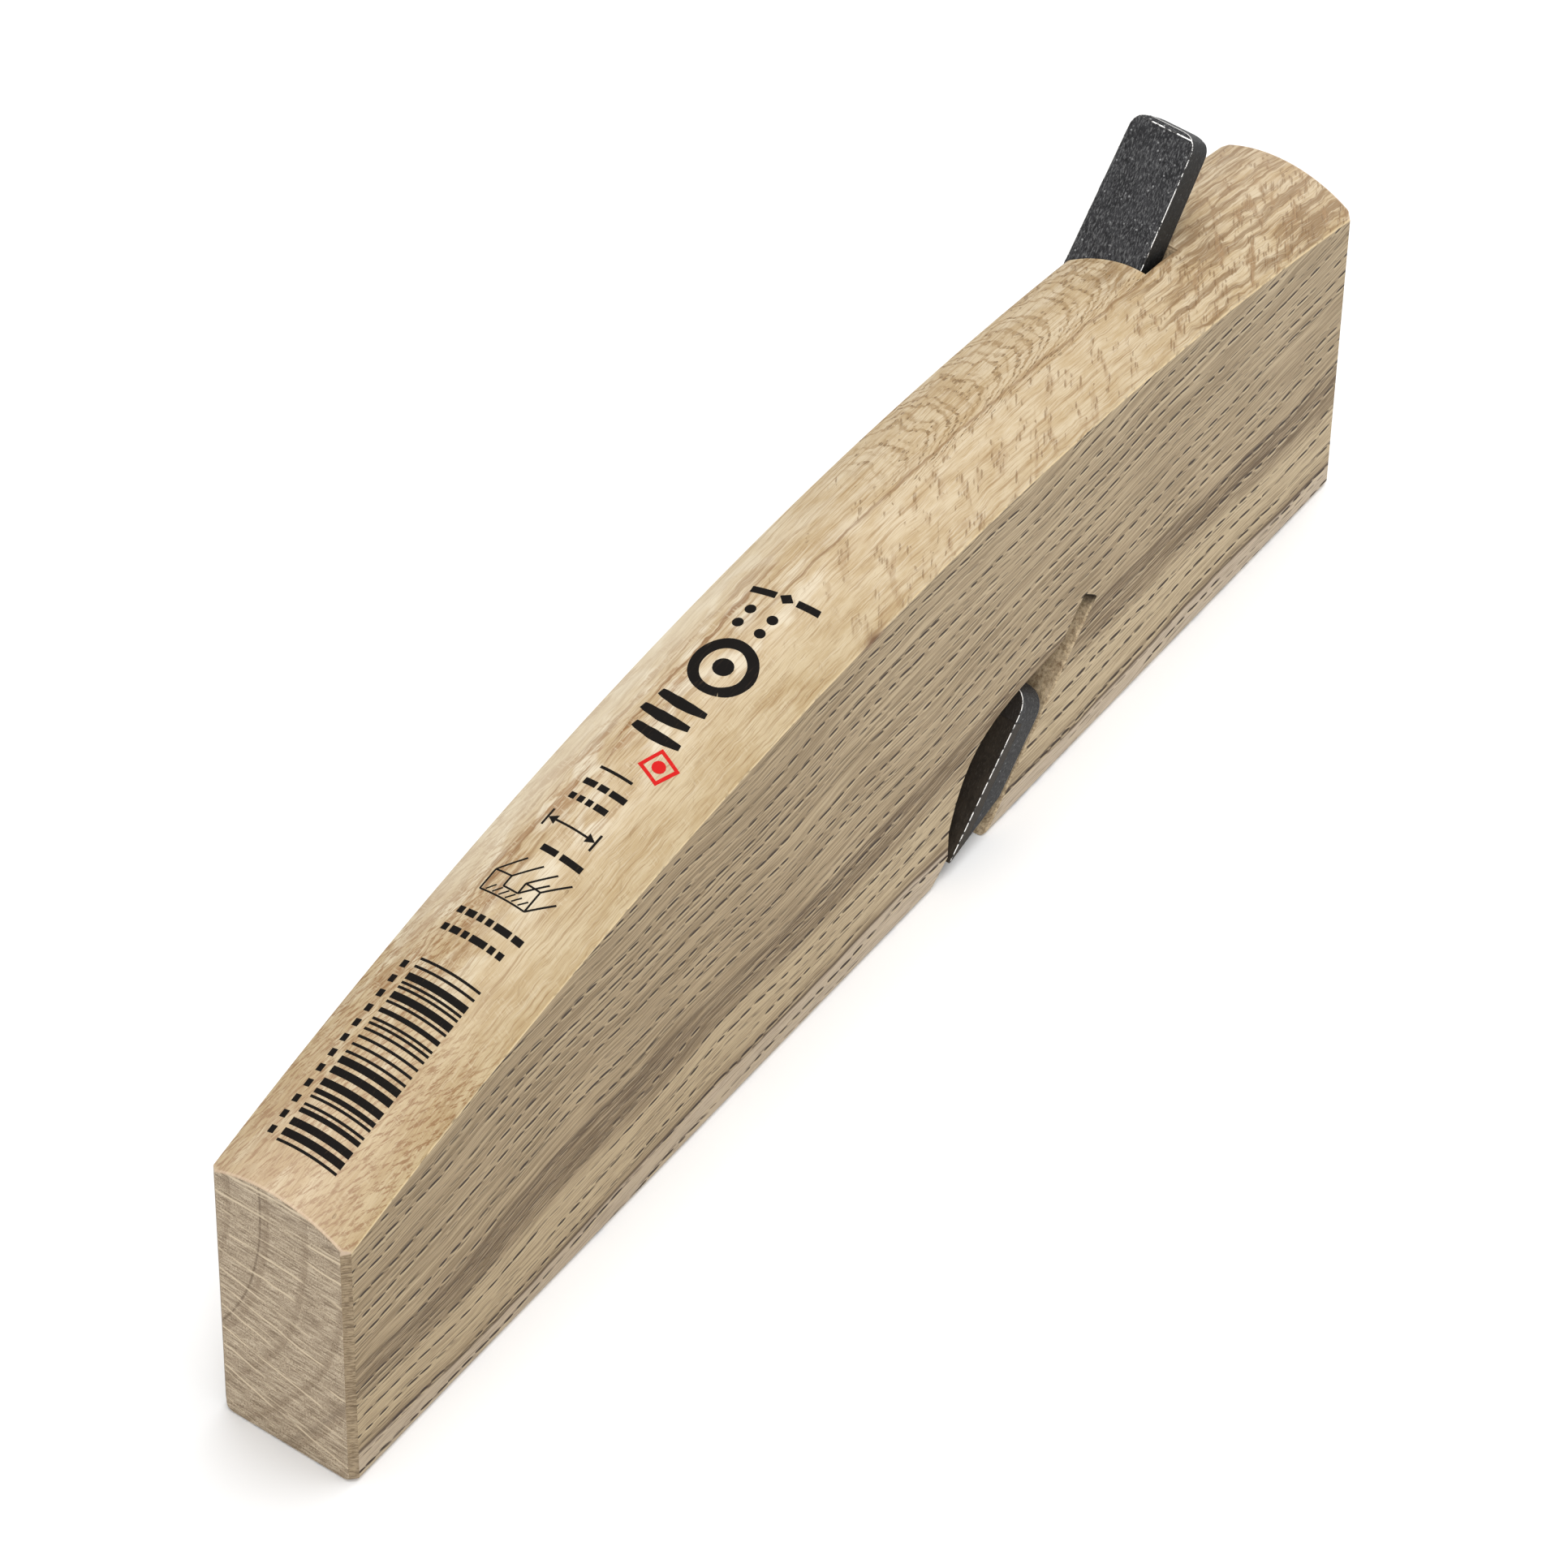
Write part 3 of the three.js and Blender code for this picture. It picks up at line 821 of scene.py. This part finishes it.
def hard_steel_in_painted_shade():
    """The welded facing: the same scale as the iron, closer, with painted shade and a painted brown
    reflection of the oak around it.
    """
    g = Graph("hard_steel_in_painted_shade")
    grit, patch = scale_pattern(g)
    # The dark brown colours are painted shade and a painted reflection of the oak.
    colour = g.coats(
        g.mix(g.ramp(patch, 0.35, 0.65), srgb(42, 36, 30), srgb(56, 49, 41)),
        (g.ramp(grit, 0.52, 0.72) * 0.5, 84, 78, 70),
        (g.ramp(grit, 0.45, 0.3) * 0.6, 24, 21, 19),
    )
    roughness = patch * 0.25 + grit * 0.15 + 0.4
    normal = g.bump(hammer_marks(g), 0.15)
    normal = g.bump(grit, 0.04, normal)
    return g.surface(colour, roughness, normal, metallic=0.25, specular=0.25)


def ink(name, solid, thin):
    """Stamped ink, thinner where the grain lets the wood through."""
    g = Graph(name)
    fibre = g.clouds(3, 0.2, 0.2, 3, 0.6)
    cloud = g.clouds(2, 2, 2)
    colour = g.mix(g.ramp(fibre, 0.58, 0.78) * 0.35, solid, thin)
    roughness = cloud * 0.2 + 0.65
    return g.surface(colour, roughness, g.bump(fibre, 0.01), specular=0.08)


def pale_floor():
    g = Graph("pale_floor")
    cloud = g.clouds(400, 400, 1, 1)
    colour = g.mix(cloud, (0.9, 0.9, 0.9, 1), (0.92, 0.92, 0.92, 1))
    return g.surface(colour, 0.9, specular=0.1)


# ---- Body ----


def arc(centre, radius, start, end, count, other_radius=None):
    """Points on a part of a circle, or of an ellipse where its second radius is given."""
    turns = even(start, end, count)
    return [
        (centre[0] + radius * math.cos(a), centre[1] + (other_radius or radius) * math.sin(a))
        for a in turns
    ]


def body_section(x, side, rim, arris_right, arris_left):
    """The body's outline at x as (y, z), starting at the sole's -Y corner.

    It is shrunk by side at the two sides and by rim at the top and the sole.
    """
    half = HALF_WIDTH - side
    ease = SOLE_EASE
    ease_z = rim + ease
    crown = CROWN_RADIUS - rim
    centre_z = ridge_height(x) - CROWN_RADIUS

    def corner(arris, facing):
        """A top corner's radius, the middle of its rounding, and where the crown meets it."""
        radius = max(arris - side / 2, ARRIS_LEAST)
        y = facing * (half - radius)
        rise = math.sqrt((crown - radius) ** 2 - (y - CROWN_Y) ** 2)
        return radius, (y, centre_z + rise), math.atan2(rise, y - CROWN_Y)

    right, right_middle, right_turn = corner(arris_right, 1)
    left, left_middle, left_turn = corner(arris_left, -1)
    outline = [(y, rim) for y in even(-half + ease, half - ease, SOLE_STEPS)[:-1]]
    outline += arc((half - ease, ease_z), ease, -math.pi / 2, 0, SOLE_EASE_STEPS)
    outline += [(half, z) for z in even(ease_z, right_middle[1], SIDE_STEPS)[1:-1]]
    outline += arc(right_middle, right, 0, right_turn, ARRIS_STEPS)[:-1]
    outline += arc((CROWN_Y, centre_z), crown, right_turn, left_turn, CROWN_STEPS)[:-1]
    outline += arc(left_middle, left, left_turn, math.pi, ARRIS_STEPS)
    outline += [(-half, z) for z in even(left_middle[1], ease_z, SIDE_STEPS)[1:-1]]
    outline += arc((-half + ease, ease_z), ease, math.pi, 1.5 * math.pi, SOLE_EASE_STEPS)[:-1]
    return outline


def body_stations():
    """x, side inset and rim inset along the body, closer together at the ends and the chip."""
    half = LENGTH / 2
    depths = even(0, CROWN_EASE, END_STEPS) + even(CROWN_EASE, TOE_CHAMFER, END_STEPS)[1:]
    heel = []
    for depth in depths:
        share = clamp(1 - depth / CROWN_EASE, 0, 1)
        rim = CROWN_EASE * (1 - math.sqrt(1 - share**2))
        heel.append((-half + depth, TOE_CHAMFER - depth, rim))
    count = steps_for(LENGTH - 2 * TOE_CHAMFER, SECTION_STEP)
    middle = even(-half + TOE_CHAMFER, half - TOE_CHAMFER, count)[1:-1]
    middle += even(CHIP_X - CHIP_SPREAD, CHIP_X + CHIP_SPREAD, CHIP_STEPS)
    toe = [(-x, side, rim) for x, side, rim in reversed(heel)]
    return heel + [(x, 0, 0) for x in sorted(middle)] + toe


def arris_at(x, shift):
    """Rounding of a long top edge, growing towards the heel and a little uneven."""
    share = clamp((ARRIS_GROWS_X - x) / (ARRIS_GROWS_X + LENGTH / 2), 0, 1)
    uneven = 1 + ARRIS_UNEVEN * (wander((x, shift, 0), ARRIS_WAVE) - 0.5)
    return blend(ARRIS_TOE, ARRIS_HEEL, share**1.5) * uneven


def body_block(outside):
    rings = []
    for x, side, rim in body_stations():
        chip = math.exp(-(((x - CHIP_X) / CHIP_REACH) ** 2))
        right = arris_at(x, 0) + chip * CHIP_ROUND
        section = body_section(x, side, rim, right, arris_at(x, 50))
        rings.append([(x, y, z) for y, z in section])
    return loft("body_oak", rings, [outside])


def resample(corners, step):
    """A closed outline with points no further apart than step."""
    points = []
    for i, start in enumerate(corners):
        end = corners[(i + 1) % len(corners)]
        count = steps_for((end - start).length, step)
        points += [blend(start, end, k / count) for k in range(count)]
    return points


def outline_normals(points):
    """Unit directions out of a closed outline in the XZ plane."""
    area = 0
    for i, p in enumerate(points):
        q = points[(i + 1) % len(points)]
        area += p.x * q.z - q.x * p.z
    turn = 1 if area > 0 else -1
    normals = []
    for i in range(len(points)):
        along = (points[(i + 1) % len(points)] - points[i - 1]).normalized()
        normals.append(Vector((along.z, 0, -along.x)) * turn)
    return normals


def throat_front():
    """The front of the throat from the side: ramp, straight wall and curved wall up to the roof."""
    slope = (MOUTH_FRONT_X - RAMP_TOP_X) / RAMP_TOP_Z
    places = [
        Vector((MOUTH_FRONT_X + PAST * slope, 0, -PAST)),
        Vector((RAMP_TOP_X, 0, RAMP_TOP_Z)),
    ]
    start = Vector((RAMP_TOP_X, 0, THROAT_WALL_TOP_Z))
    low = Vector((CURVE_LOW_X, 0, CURVE_LOW_Z))
    high = Vector((CURVE_HIGH_X, 0, THROAT_ROOF_Z))
    end = Vector((THROAT_BACK_X, 0, THROAT_ROOF_Z))
    for s in even(0, 1, THROAT_CURVE_STEPS):
        r = 1 - s
        places.append(start * r**3 + low * 3 * s * r**2 + high * 3 * s**2 * r + end * s**3)
    return places


def bedded_outline():
    """The throat as it runs right through, ending at the bed."""
    return throat_front() + [
        on_bed(THROAT_ROOF_Z / BED_UP.z, -GROOVE_DEEPER),
        on_bed(-PAST / BED_UP.z, -GROOVE_DEEPER),
    ]


def deep_outline():
    """The deeper cut behind the head on the +Y side, with its saw slot above.

    Its front edge lies in the throat, which is cut already.
    """
    in_throat = 1
    under_roof = 20
    return [
        on_bed(-PAST / BED_UP.z, in_throat),
        on_bed(under_roof, in_throat),
        Vector((THROAT_BACK_X, 0, THROAT_ROOF_Z)),
        on_rear(SLOT_START_UP, SLOT_THICK),
        on_rear(SLOT_END_UP, SLOT_THICK),
        on_rear(SLOT_END_UP, 0),
        on_rear(-PAST / math.sin(REAR_ANGLE), 0),
    ]


def side_cutter(name, corners, y_start, rough, cut):
    """Runs an outline across the body to the +Y side, with roughly chiselled walls."""
    outline = resample(corners, CUT_STEP)
    normals = outline_normals(outline)
    inner = HALF_WIDTH - CUT_EASE
    start = max(y_start, -inner)
    stations = even(start, inner, steps_for(inner - start, CUT_STEP))
    stations += [HALF_WIDTH, HALF_WIDTH + PAST]
    if y_start < -inner:
        stations = [y_start, -HALF_WIDTH] + stations
    rings = []
    for y in stations:
        ease = clamp(abs(y) - inner, 0, CUT_EASE)
        ring = []
        for point, normal in zip(outline, normals):
            place = Vector((point.x, y, point.z))
            ring.append(place + normal * (ease + rough * wander(place, CUT_WAVE)))
        rings.append(ring)
    return loft(name, rings, [cut])


def front_out(up):
    """How far the iron's front face lies out of the bed."""
    along = (up - IRON_EDGE_UP) / IRON_LENGTH
    return BACK_GAP + blend(IRON_EDGE_THICK, IRON_TOP_THICK, along)


def tang_edge(up):
    """The tang's +Y edge."""
    shoulder = IRON_EDGE_UP + HEAD_LENGTH
    share = (up - shoulder) / (IRON_LENGTH - HEAD_LENGTH)
    return -IRON_WIDTH / 2 + blend(TANG_WIDTH_LOW, TANG_WIDTH_TOP, share)


def reach_of_crown(out, y):
    """How far up the bed a line at out and y meets the crowned top, found by halving."""
    halvings = 40
    low, high = 0, IRON_LENGTH
    for _ in range(halvings):
        middle = (low + high) / 2
        place = on_bed(middle, out, y)
        if place.z < crown_height(place.x, clamp(y, -HALF_WIDTH, HALF_WIDTH)):
            low = middle
        else:
            high = middle
    return low


def groove_profile():
    """The groove's outline across the bed, as places from 0 to 1 in depth, y rows and directions."""
    face = -HALF_WIDTH
    rows = [face - PAST, face, face + CUT_EASE]
    shares = even(0, 1, GROOVE_FLOOR_STEPS)
    across = [(row, 0) for row in rows] + [(rows[-1], share) for share in shares[1:]]
    profile = [(0, place, (-1, 0)) for place in across[:-1]]
    profile += [(0, across[-1], (-1, 1))]
    profile += [(depth, across[-1], (0, 1)) for depth in even(0, 1, GROOVE_WALL_STEPS)[1:-1]]
    profile += [(1, across[-1], (1, 1))]
    profile += [(1, place, (1, 0)) for place in reversed(across[:-1])]
    return profile


def groove_point(entry, up, ease_top):
    """One point of the groove's cutter at a distance up the bed."""
    depth, (row, share), (push_out, push_y) = entry
    floor = -GROOVE_DEEPER
    out = blend(floor, front_out(up) + FRONT_GAP, depth)
    y = blend(row, tang_edge(up) + SIDE_GAP, share)
    ease_side = clamp(-HALF_WIDTH + CUT_EASE - y, 0, CUT_EASE)
    place = on_bed(up, out, y)
    rough = GROOVE_DEEPER / 2 * wander(place, CUT_WAVE)
    push = max(ease_side, ease_top) + rough
    return on_bed(up, out + push_out * push, y + push_y * push)


def groove_cutter(cut):
    profile = groove_profile()
    top = IRON_EDGE_UP + IRON_LENGTH + PAST
    count = steps_for(top - GROOVE_START_UP, GROOVE_STEP)
    meets = []
    for depth, (row, share), _ in profile:
        guess = front_out(top) * depth
        meets.append(reach_of_crown(guess, blend(row, tang_edge(top), share)))
    rings = []
    for k in range(count + 1):
        share = k / count
        rings.append(
            [
                groove_point(entry, blend(GROOVE_START_UP, meet - CUT_EASE, share), 0)
                for entry, meet in zip(profile, meets)
            ]
        )
    rings.append([groove_point(entry, meet, CUT_EASE) for entry, meet in zip(profile, meets)])
    rings.append([groove_point(entry, top, CUT_EASE) for entry in profile])
    return loft("groove_cutter", rings, [cut])


def make_body():
    cut = oak_cut()
    body = body_block(oak_outside())
    through = side_cutter("through", bedded_outline(), -HALF_WIDTH - PAST, GROOVE_DEEPER / 2, cut)
    deep = side_cutter("deep", deep_outline(), BED_EDGE_Y, CUT_ROUGH, cut)
    for cutter in (through, deep, groove_cutter(cut)):
        combine(body, cutter, "DIFFERENCE")
        discard(cutter)
    shade(body, BODY_SHARP_ANGLE)
    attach(body, "stock")
    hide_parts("body")


# ---- Iron ----

WORN = 1  # places of the materials in the iron's list
GROUND = 2


def quadratic(start, corner, end, count):
    """A curve from start to end, drawn towards corner."""
    points = []
    for s in even(0, 1, count):
        points.append(start * (1 - s) ** 2 + corner * 2 * s * (1 - s) + end * s**2)
    return points


def prism(name, outline, direction, materials):
    """A flat outline of points pushed along a direction."""
    return loft(name, [outline, [p + direction for p in outline]], materials)


def iron_side_view():
    top = IRON_EDGE_UP + IRON_LENGTH
    slope = math.atan2(IRON_EDGE_THICK - IRON_TOP_THICK, IRON_LENGTH)
    heel = IRON_EDGE_UP + IRON_EDGE_THICK / math.tan(BEVEL_ANGLE + slope)
    y = -IRON_WIDTH / 2 - SPARE
    return [
        on_bed(IRON_EDGE_UP, front_out(IRON_EDGE_UP), y),
        on_bed(top - IRON_END_EASE, front_out(top), y),
        on_bed(top, front_out(top) - IRON_END_EASE, y),
        on_bed(top, BACK_GAP + IRON_END_EASE, y),
        on_bed(top - IRON_END_EASE, BACK_GAP, y),
        on_bed(heel, BACK_GAP, y),
    ]


def rounded(up, y, before, after, steps):
    """A rounded corner at (up, y), from one offset from it to the other."""
    ends = [Vector((up + offset[0], y + offset[1])) for offset in (before, after)]
    return quadratic(ends[0], Vector((up, y)), ends[1], steps)


def iron_outline():
    """The iron from the front, straight at -Y, with its shoulder at +Y."""
    low = IRON_EDGE_UP - SPARE
    shoulder = IRON_EDGE_UP + HEAD_LENGTH
    top = IRON_EDGE_UP + IRON_LENGTH
    half = IRON_WIDTH / 2
    corner = TANG_CORNER_RADIUS
    root = TANG_ROOT_RADIUS
    outer = SHOULDER_RADIUS
    outline = [Vector((low, -half))]
    outline += rounded(top, -half, (-corner, 0), (0, corner), IRON_CORNER_STEPS)
    outline += rounded(top, tang_edge(top), (0, -corner), (-corner, 0), IRON_CORNER_STEPS)
    outline += rounded(shoulder, tang_edge(shoulder), (root, 0), (0, root), IRON_ROOT_STEPS)
    outline += rounded(shoulder, half, (0, -outer), (-outer, 0), IRON_CORNER_STEPS)
    outline.append(Vector((low, half)))
    return [on_bed(p.x, -SPARE, p.y) for p in outline]


def bevel_normal():
    """The direction that the ground bevel faces."""
    view = iron_side_view()
    along = (view[0] - view[-1]).normalized()
    return Vector((along.z, 0, -along.x))


def round_edges(iron):
    """Rounds every sharp edge but those of the ground bevel, and marks the bevel as ground."""
    facing = bevel_normal()
    edit = bmesh.new()
    edit.from_mesh(iron.data)
    bmesh.ops.dissolve_limit(
        edit, angle_limit=math.radians(1), verts=edit.verts, edges=edit.edges
    )
    edit.normal_update()
    for face in edit.faces:
        if abs(face.normal.dot(facing)) > 0.99:
            face.material_index = GROUND
    sharp = []
    for edge in edit.edges:
        if len(edge.link_faces) != 2:
            continue
        ground = any(face.material_index == GROUND for face in edge.link_faces)
        if not ground and edge.calc_face_angle() > math.radians(25):
            sharp.append(edge)
    bmesh.ops.bevel(
        edit,
        geom=sharp,
        offset=IRON_EDGE_ROUND * MM,
        segments=3,
        profile=0.5,
        affect="EDGES",
        clamp_overlap=True,
        material=WORN,
    )
    edit.to_mesh(iron.data)
    edit.free()


def steel_region(extra):
    """The layer under the front face that is hard steel, widened by extra."""
    high = IRON_EDGE_UP + STEEL_LENGTH + extra
    low = IRON_EDGE_UP - PAST
    depth = STEEL_THICK + extra
    y = -IRON_WIDTH
    outline = [
        on_bed(low, front_out(low) - depth, y),
        on_bed(low, front_out(low) + SPARE, y),
        on_bed(high, front_out(high) + SPARE, y),
        on_bed(high, front_out(high) - depth, y),
    ]
    return prism("steel_region", outline, Vector((0, 2 * IRON_WIDTH, 0)), [])


def whole_iron(name, materials):
    bar = prism(name, iron_side_view(), Vector((0, IRON_WIDTH + 2 * SPARE, 0)), materials)
    outline = prism("iron_outline", iron_outline(), BED_OUT * (IRON_EDGE_THICK + 2 * SPARE), [])
    combine(bar, outline, "INTERSECT")
    discard(outline)
    round_edges(bar)
    return bar


def make_iron():
    edge = worn_edge()
    ground = ground_steel()
    pieces = (
        ("iron_forging", forged_iron(), "DIFFERENCE", WELD_LINE, "blade_iron", "forged_iron"),
        ("iron_steel_face", hard_steel_in_painted_shade(), "INTERSECT", 0, "edge_steel", "edge_steel"),
    )
    for name, face, operation, extra, node, slot in pieces:
        iron = whole_iron(name, [face, edge, ground])
        region = steel_region(extra)
        combine(iron, region, operation)
        discard(region)
        shade(iron, IRON_SHARP_ANGLE)
        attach(iron, "iron")
        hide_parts(node)


# ---- Print on the top: plain marks, no lettering ----

INK_RISE = 0.03
INK_SINK = 0.05
PRINT_STEP = 0.5
WORD_LENGTHS = (0.7, 1.1, 1.5, 1.9)
WORD_GAP = 0.35
SHORTEST_WORD = 0.6


class Print:
    """Thin closed slabs of ink that follow the crowned top."""

    def __init__(self, name, material):
        self.name = name
        self.material = material
        self.points = []
        self.faces = []

    def patch(self, grid):
        """A slab over a grid of (x, y) places."""
        rows, columns = len(grid), len(grid[0])
        start = len(self.points)
        for shift in (INK_RISE, -INK_SINK):
            for row in grid:
                for x, y in row:
                    self.points.append((x, y, crown_height(x, y) + shift))
        below = rows * columns

        def at(i, j, low=False):
            return start + i * columns + j + (below if low else 0)

        for i in range(rows - 1):
            for j in range(columns - 1):
                top = (at(i, j), at(i, j + 1), at(i + 1, j + 1), at(i + 1, j))
                self.faces.append(top)
                self.faces.append(tuple(v + below for v in reversed(top)))
        border = [(0, j) for j in range(columns)]
        border += [(i, columns - 1) for i in range(1, rows)]
        border += [(rows - 1, j) for j in reversed(range(columns - 1))]
        border += [(i, 0) for i in reversed(range(1, rows - 1))]
        for k, first in enumerate(border):
            second = border[(k + 1) % len(border)]
            self.faces.append((at(*second), at(*first), at(*first, True), at(*second, True)))

    def stroke(self, path, widths):
        """A line along path with a width at each of its points."""
        across = steps_for(max(widths), PRINT_STEP)
        grid = []
        for i, point in enumerate(path):
            after = path[min(i + 1, len(path) - 1)]
            before = path[max(i - 1, 0)]
            along = (Vector(after) - Vector(before)).normalized()
            left = Vector((-along.y, along.x))
            row = [Vector(point) + left * widths[i] * share for share in even(-0.5, 0.5, across)]
            grid.append([tuple(p) for p in row])
        self.patch(grid)

    def line(self, start, end, width):
        start, end = Vector(start), Vector(end)
        count = steps_for((end - start).length, PRINT_STEP)
        path = [tuple(blend(start, end, s)) for s in even(0, 1, count)]
        self.stroke(path, [width] * len(path))

    def brush(self, path, width, lift=0.25):
        """A stroke that swells and thins like a loaded brush."""
        count = len(path) - 1
        widths = []
        for i in range(count + 1):
            share = i / count
            swell = lift + (1 - lift) * math.sin(math.pi * clamp(share * 0.85 + 0.1, 0, 1)) ** 0.6
            widths.append(width * swell * (0.9 + 0.2 * wander((i, width, 0), 4)))
        self.stroke(path, widths)

    def make(self):
        thing = make_mesh(self.name, self.points, self.faces, [self.material])
        outward(thing)
        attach(thing, "stock")


def greeked_line(ink_layer, x, y_start, y_end, thick, dice):
    """A row of short plain bars in place of words."""
    y = y_start
    while y < y_end - SHORTEST_WORD:
        length = min(dice.choice(WORD_LENGTHS), y_end - y)
        ink_layer.line((x, y), (x, y + length), thick)
        y += length + WORD_GAP


def disc(centre, radius):
    """The path and widths of a round dot."""
    x, y = centre
    shares = even(-0.97, 0.97, 10)
    path = [(x, y + radius * share) for share in shares]
    return path, [2 * radius * math.sqrt(1 - share**2) for share in shares]


def header(black):
    """A rule with a diamond in its middle, and four dots under it."""
    black.line((5.4, -4.0), (4.9, -1.2), 0.9)
    black.line((4.5, 1.2), (4.0, 3.7), 0.9)
    black.stroke([(4.7, -0.8), (4.7, 0.0), (4.7, 0.8)], [0.1, 1.5, 0.1])
    for x in (7.9, 10.1):
        for y in (-2.3, 0.5):
            black.stroke(*disc((x, y), 0.62))


def emblem(black):
    """A brushed closed ring round a solid disc, and three brushed bars side by side."""
    centre = (15.9, 0.1)
    ring_start = 0.5
    ring = arc(centre, 3.3, ring_start, ring_start + 2 * math.pi, 44, 3.0)
    black.brush(ring, 1.3, 0.75)
    black.stroke(*disc(centre, 1.15))
    bow = 0.35
    for x, start, end in ((21.9, -3.4, 2.4), (24.3, -3.9, 2.0), (26.7, -3.2, 2.6)):
        bar = [(x + bow * math.sin(share * 3), blend(start, end, share)) for share in even(0, 1, 20)]
        black.brush(bar, 1.35)


def seal(red):
    """A square frame round a dot."""
    centre = Vector((29.9, 2.3))
    turn = Matrix.Rotation(math.radians(-19), 2)

    def at(u, v):
        return tuple(centre + turn @ Vector((u, v)))

    width = 0.4
    half = 1.35
    outer = half + width / 2
    inner = half - width / 2
    for side in (-half, half):
        red.line(at(side, -outer), at(side, outer), width)
        red.line(at(-inner, side), at(inner, side), width)
    red.stroke(*disc(centre, 0.75))


def size_mark(black, dice):
    """Short lines and a double-headed arrow between two ticks."""
    black.line((33.2, -2.6), (33.2, 1.4), 0.35)
    greeked_line(black, 35.4, -3.0, 2.2, 0.8, dice)
    greeked_line(black, 37.6, -3.2, 2.0, 0.8, dice)
    x = 41.0
    thin = 0.25
    black.line((x, -2.4), (x, 1.6), thin)
    for y, turn in ((-3.4, 1), (2.6, -1)):
        black.line((x - 1.1, y), (x + 1.1, y), thin)
        black.stroke([(x, y + 0.15 * turn), (x, y + 1.05 * turn)], [0.1, 1.2])


def trench_picture(black):
    """A board with a groove along it, drawn in thin lines, and the line of its label."""
    width = 0.2
    x = 51.6  # the front face's lower edge
    high = 2.7
    floor = 1.3
    left, groove_left, groove_right, right = -4.0, -2.0, -0.2, 1.6
    profile = (
        (left, 0),
        (left, high),
        (groove_left, high),
        (groove_left, floor),
        (groove_right, floor),
        (groove_right, high),
        (right, high),
        (right, 0),
    )
    for (y, rise), (next_y, next_rise) in zip(profile, profile[1:] + profile[:1]):
        black.line((x - rise, y), (x - next_rise, next_y), width)
    receding = [(y, high) for y in (left, groove_left, groove_right, right)]
    for y, rise in receding + [(groove_right, floor), (right, 0)]:
        black.line((x - rise, y), (x - rise - 2.6, y + 2.1), width)
    for y in even(-3.4, 0.6, 5):
        black.line((x - 0.2, y), (x - 1.1, y + 0.7), width * 0.8)
    for start, end in ((-1.6, 0.3), (0.8, 3.4)):
        black.line((44.4, start), (44.4, end), 0.8)


def bar_pattern(black, dice):
    """Upright bars of made-up widths, with short ticks beside them."""
    x = 61.2
    end_x = 85.0
    while x < end_x:
        width = dice.choice((0.3, 0.3, 0.55, 0.85))
        black.line((x + width / 2, -4.0), (x + width / 2, 3.5), width)
        x += width + dice.choice((0.3, 0.45, 0.7))
    tick_y = -5.2
    for x in even(62.5, 84.0, 11):
        black.line((x - 0.45, tick_y), (x + 0.45, tick_y), 0.7)


def make_print():
    dice = random.Random(7)
    black = Print("top_print_black", ink("ink_black", srgb(20, 17, 15), srgb(74, 60, 44)))
    red = Print("top_print_red", ink("ink_red", srgb(192, 30, 28), srgb(214, 110, 88)))
    header(black)
    emblem(black)
    seal(red)
    size_mark(black, dice)
    trench_picture(black)
    greeked_line(black, 54.6, -4.4, 3.6, 0.85, dice)
    greeked_line(black, 57.0, -4.6, 3.6, 0.85, dice)
    bar_pattern(black, dice)
    black.make()
    red.make()


# ---- Stage, light and camera ----

CAMERA_PLACE = Vector((0.48732, 0.33924, 0.66787))  # in metres
CAMERA_LOOK = Vector((-0.553576, -0.38891, -0.736412))
CAMERA_RIGHT = Vector((-0.588502, 0.808347, 0.015489))
CAMERA_LENS = 189.42
CAMERA_SENSOR = 36
FLOOR_DROP = 0.05  # the floor lies this far under the sole, so that the two don't coincide
FLOOR_REACH = 2000
FLOOR_SQUARES = 12  # squares along each side of the floor
KEY_LIGHT = ((-0.25, 0.1, 1.5), 1.5, 23)  # place and size in metres, power in watts
FILL_LIGHT = ((1.2, 0.7, 0.9), 1.2, 8)
SKY_STRENGTH = 0.52


def make_camera():
    data = bpy.data.cameras.new("camera")
    data.lens = CAMERA_LENS
    data.sensor_width = CAMERA_SENSOR
    camera = add_object("camera", data)
    up = CAMERA_RIGHT.cross(CAMERA_LOOK)
    turn = Matrix((CAMERA_RIGHT, up, -CAMERA_LOOK)).transposed()
    camera.matrix_world = Matrix.Translation(CAMERA_PLACE) @ turn.to_4x4()
    bpy.context.scene.camera = camera


def area_light(name, place, size, watts):
    data = bpy.data.lights.new(name, "AREA")
    data.shape = "DISK"
    data.size = size
    data.energy = watts
    light = add_object(name, data)
    light.location = place
    light.rotation_mode = "QUATERNION"
    light.rotation_quaternion = Vector(place).to_track_quat("Z", "Y")


def make_stage():
    places = even(-FLOOR_REACH, FLOOR_REACH, FLOOR_SQUARES)
    points = [(x, y, -FLOOR_DROP) for x in places for y in places]
    row = len(places)
    faces = []
    for i in range(FLOOR_SQUARES):
        for j in range(FLOOR_SQUARES):
            low = i * row + j
            faces.append((low, low + row, low + row + 1, low + 1))
    floor = make_mesh("floor", points, faces, [pale_floor()])
    area_light("key", *KEY_LIGHT)
    area_light("fill", *FILL_LIGHT)
    world = bpy.data.worlds.new("studio")
    world.use_nodes = True
    sky = world.node_tree.nodes["Background"]
    sky.inputs["Color"].default_value = (1, 1, 1, 1)
    sky.inputs["Strength"].default_value = SKY_STRENGTH
    bpy.context.scene.world = world
    bpy.context.scene.view_settings.view_transform = "Standard"


make_camera()
make_stage()
make_body()
make_iron()
make_print()
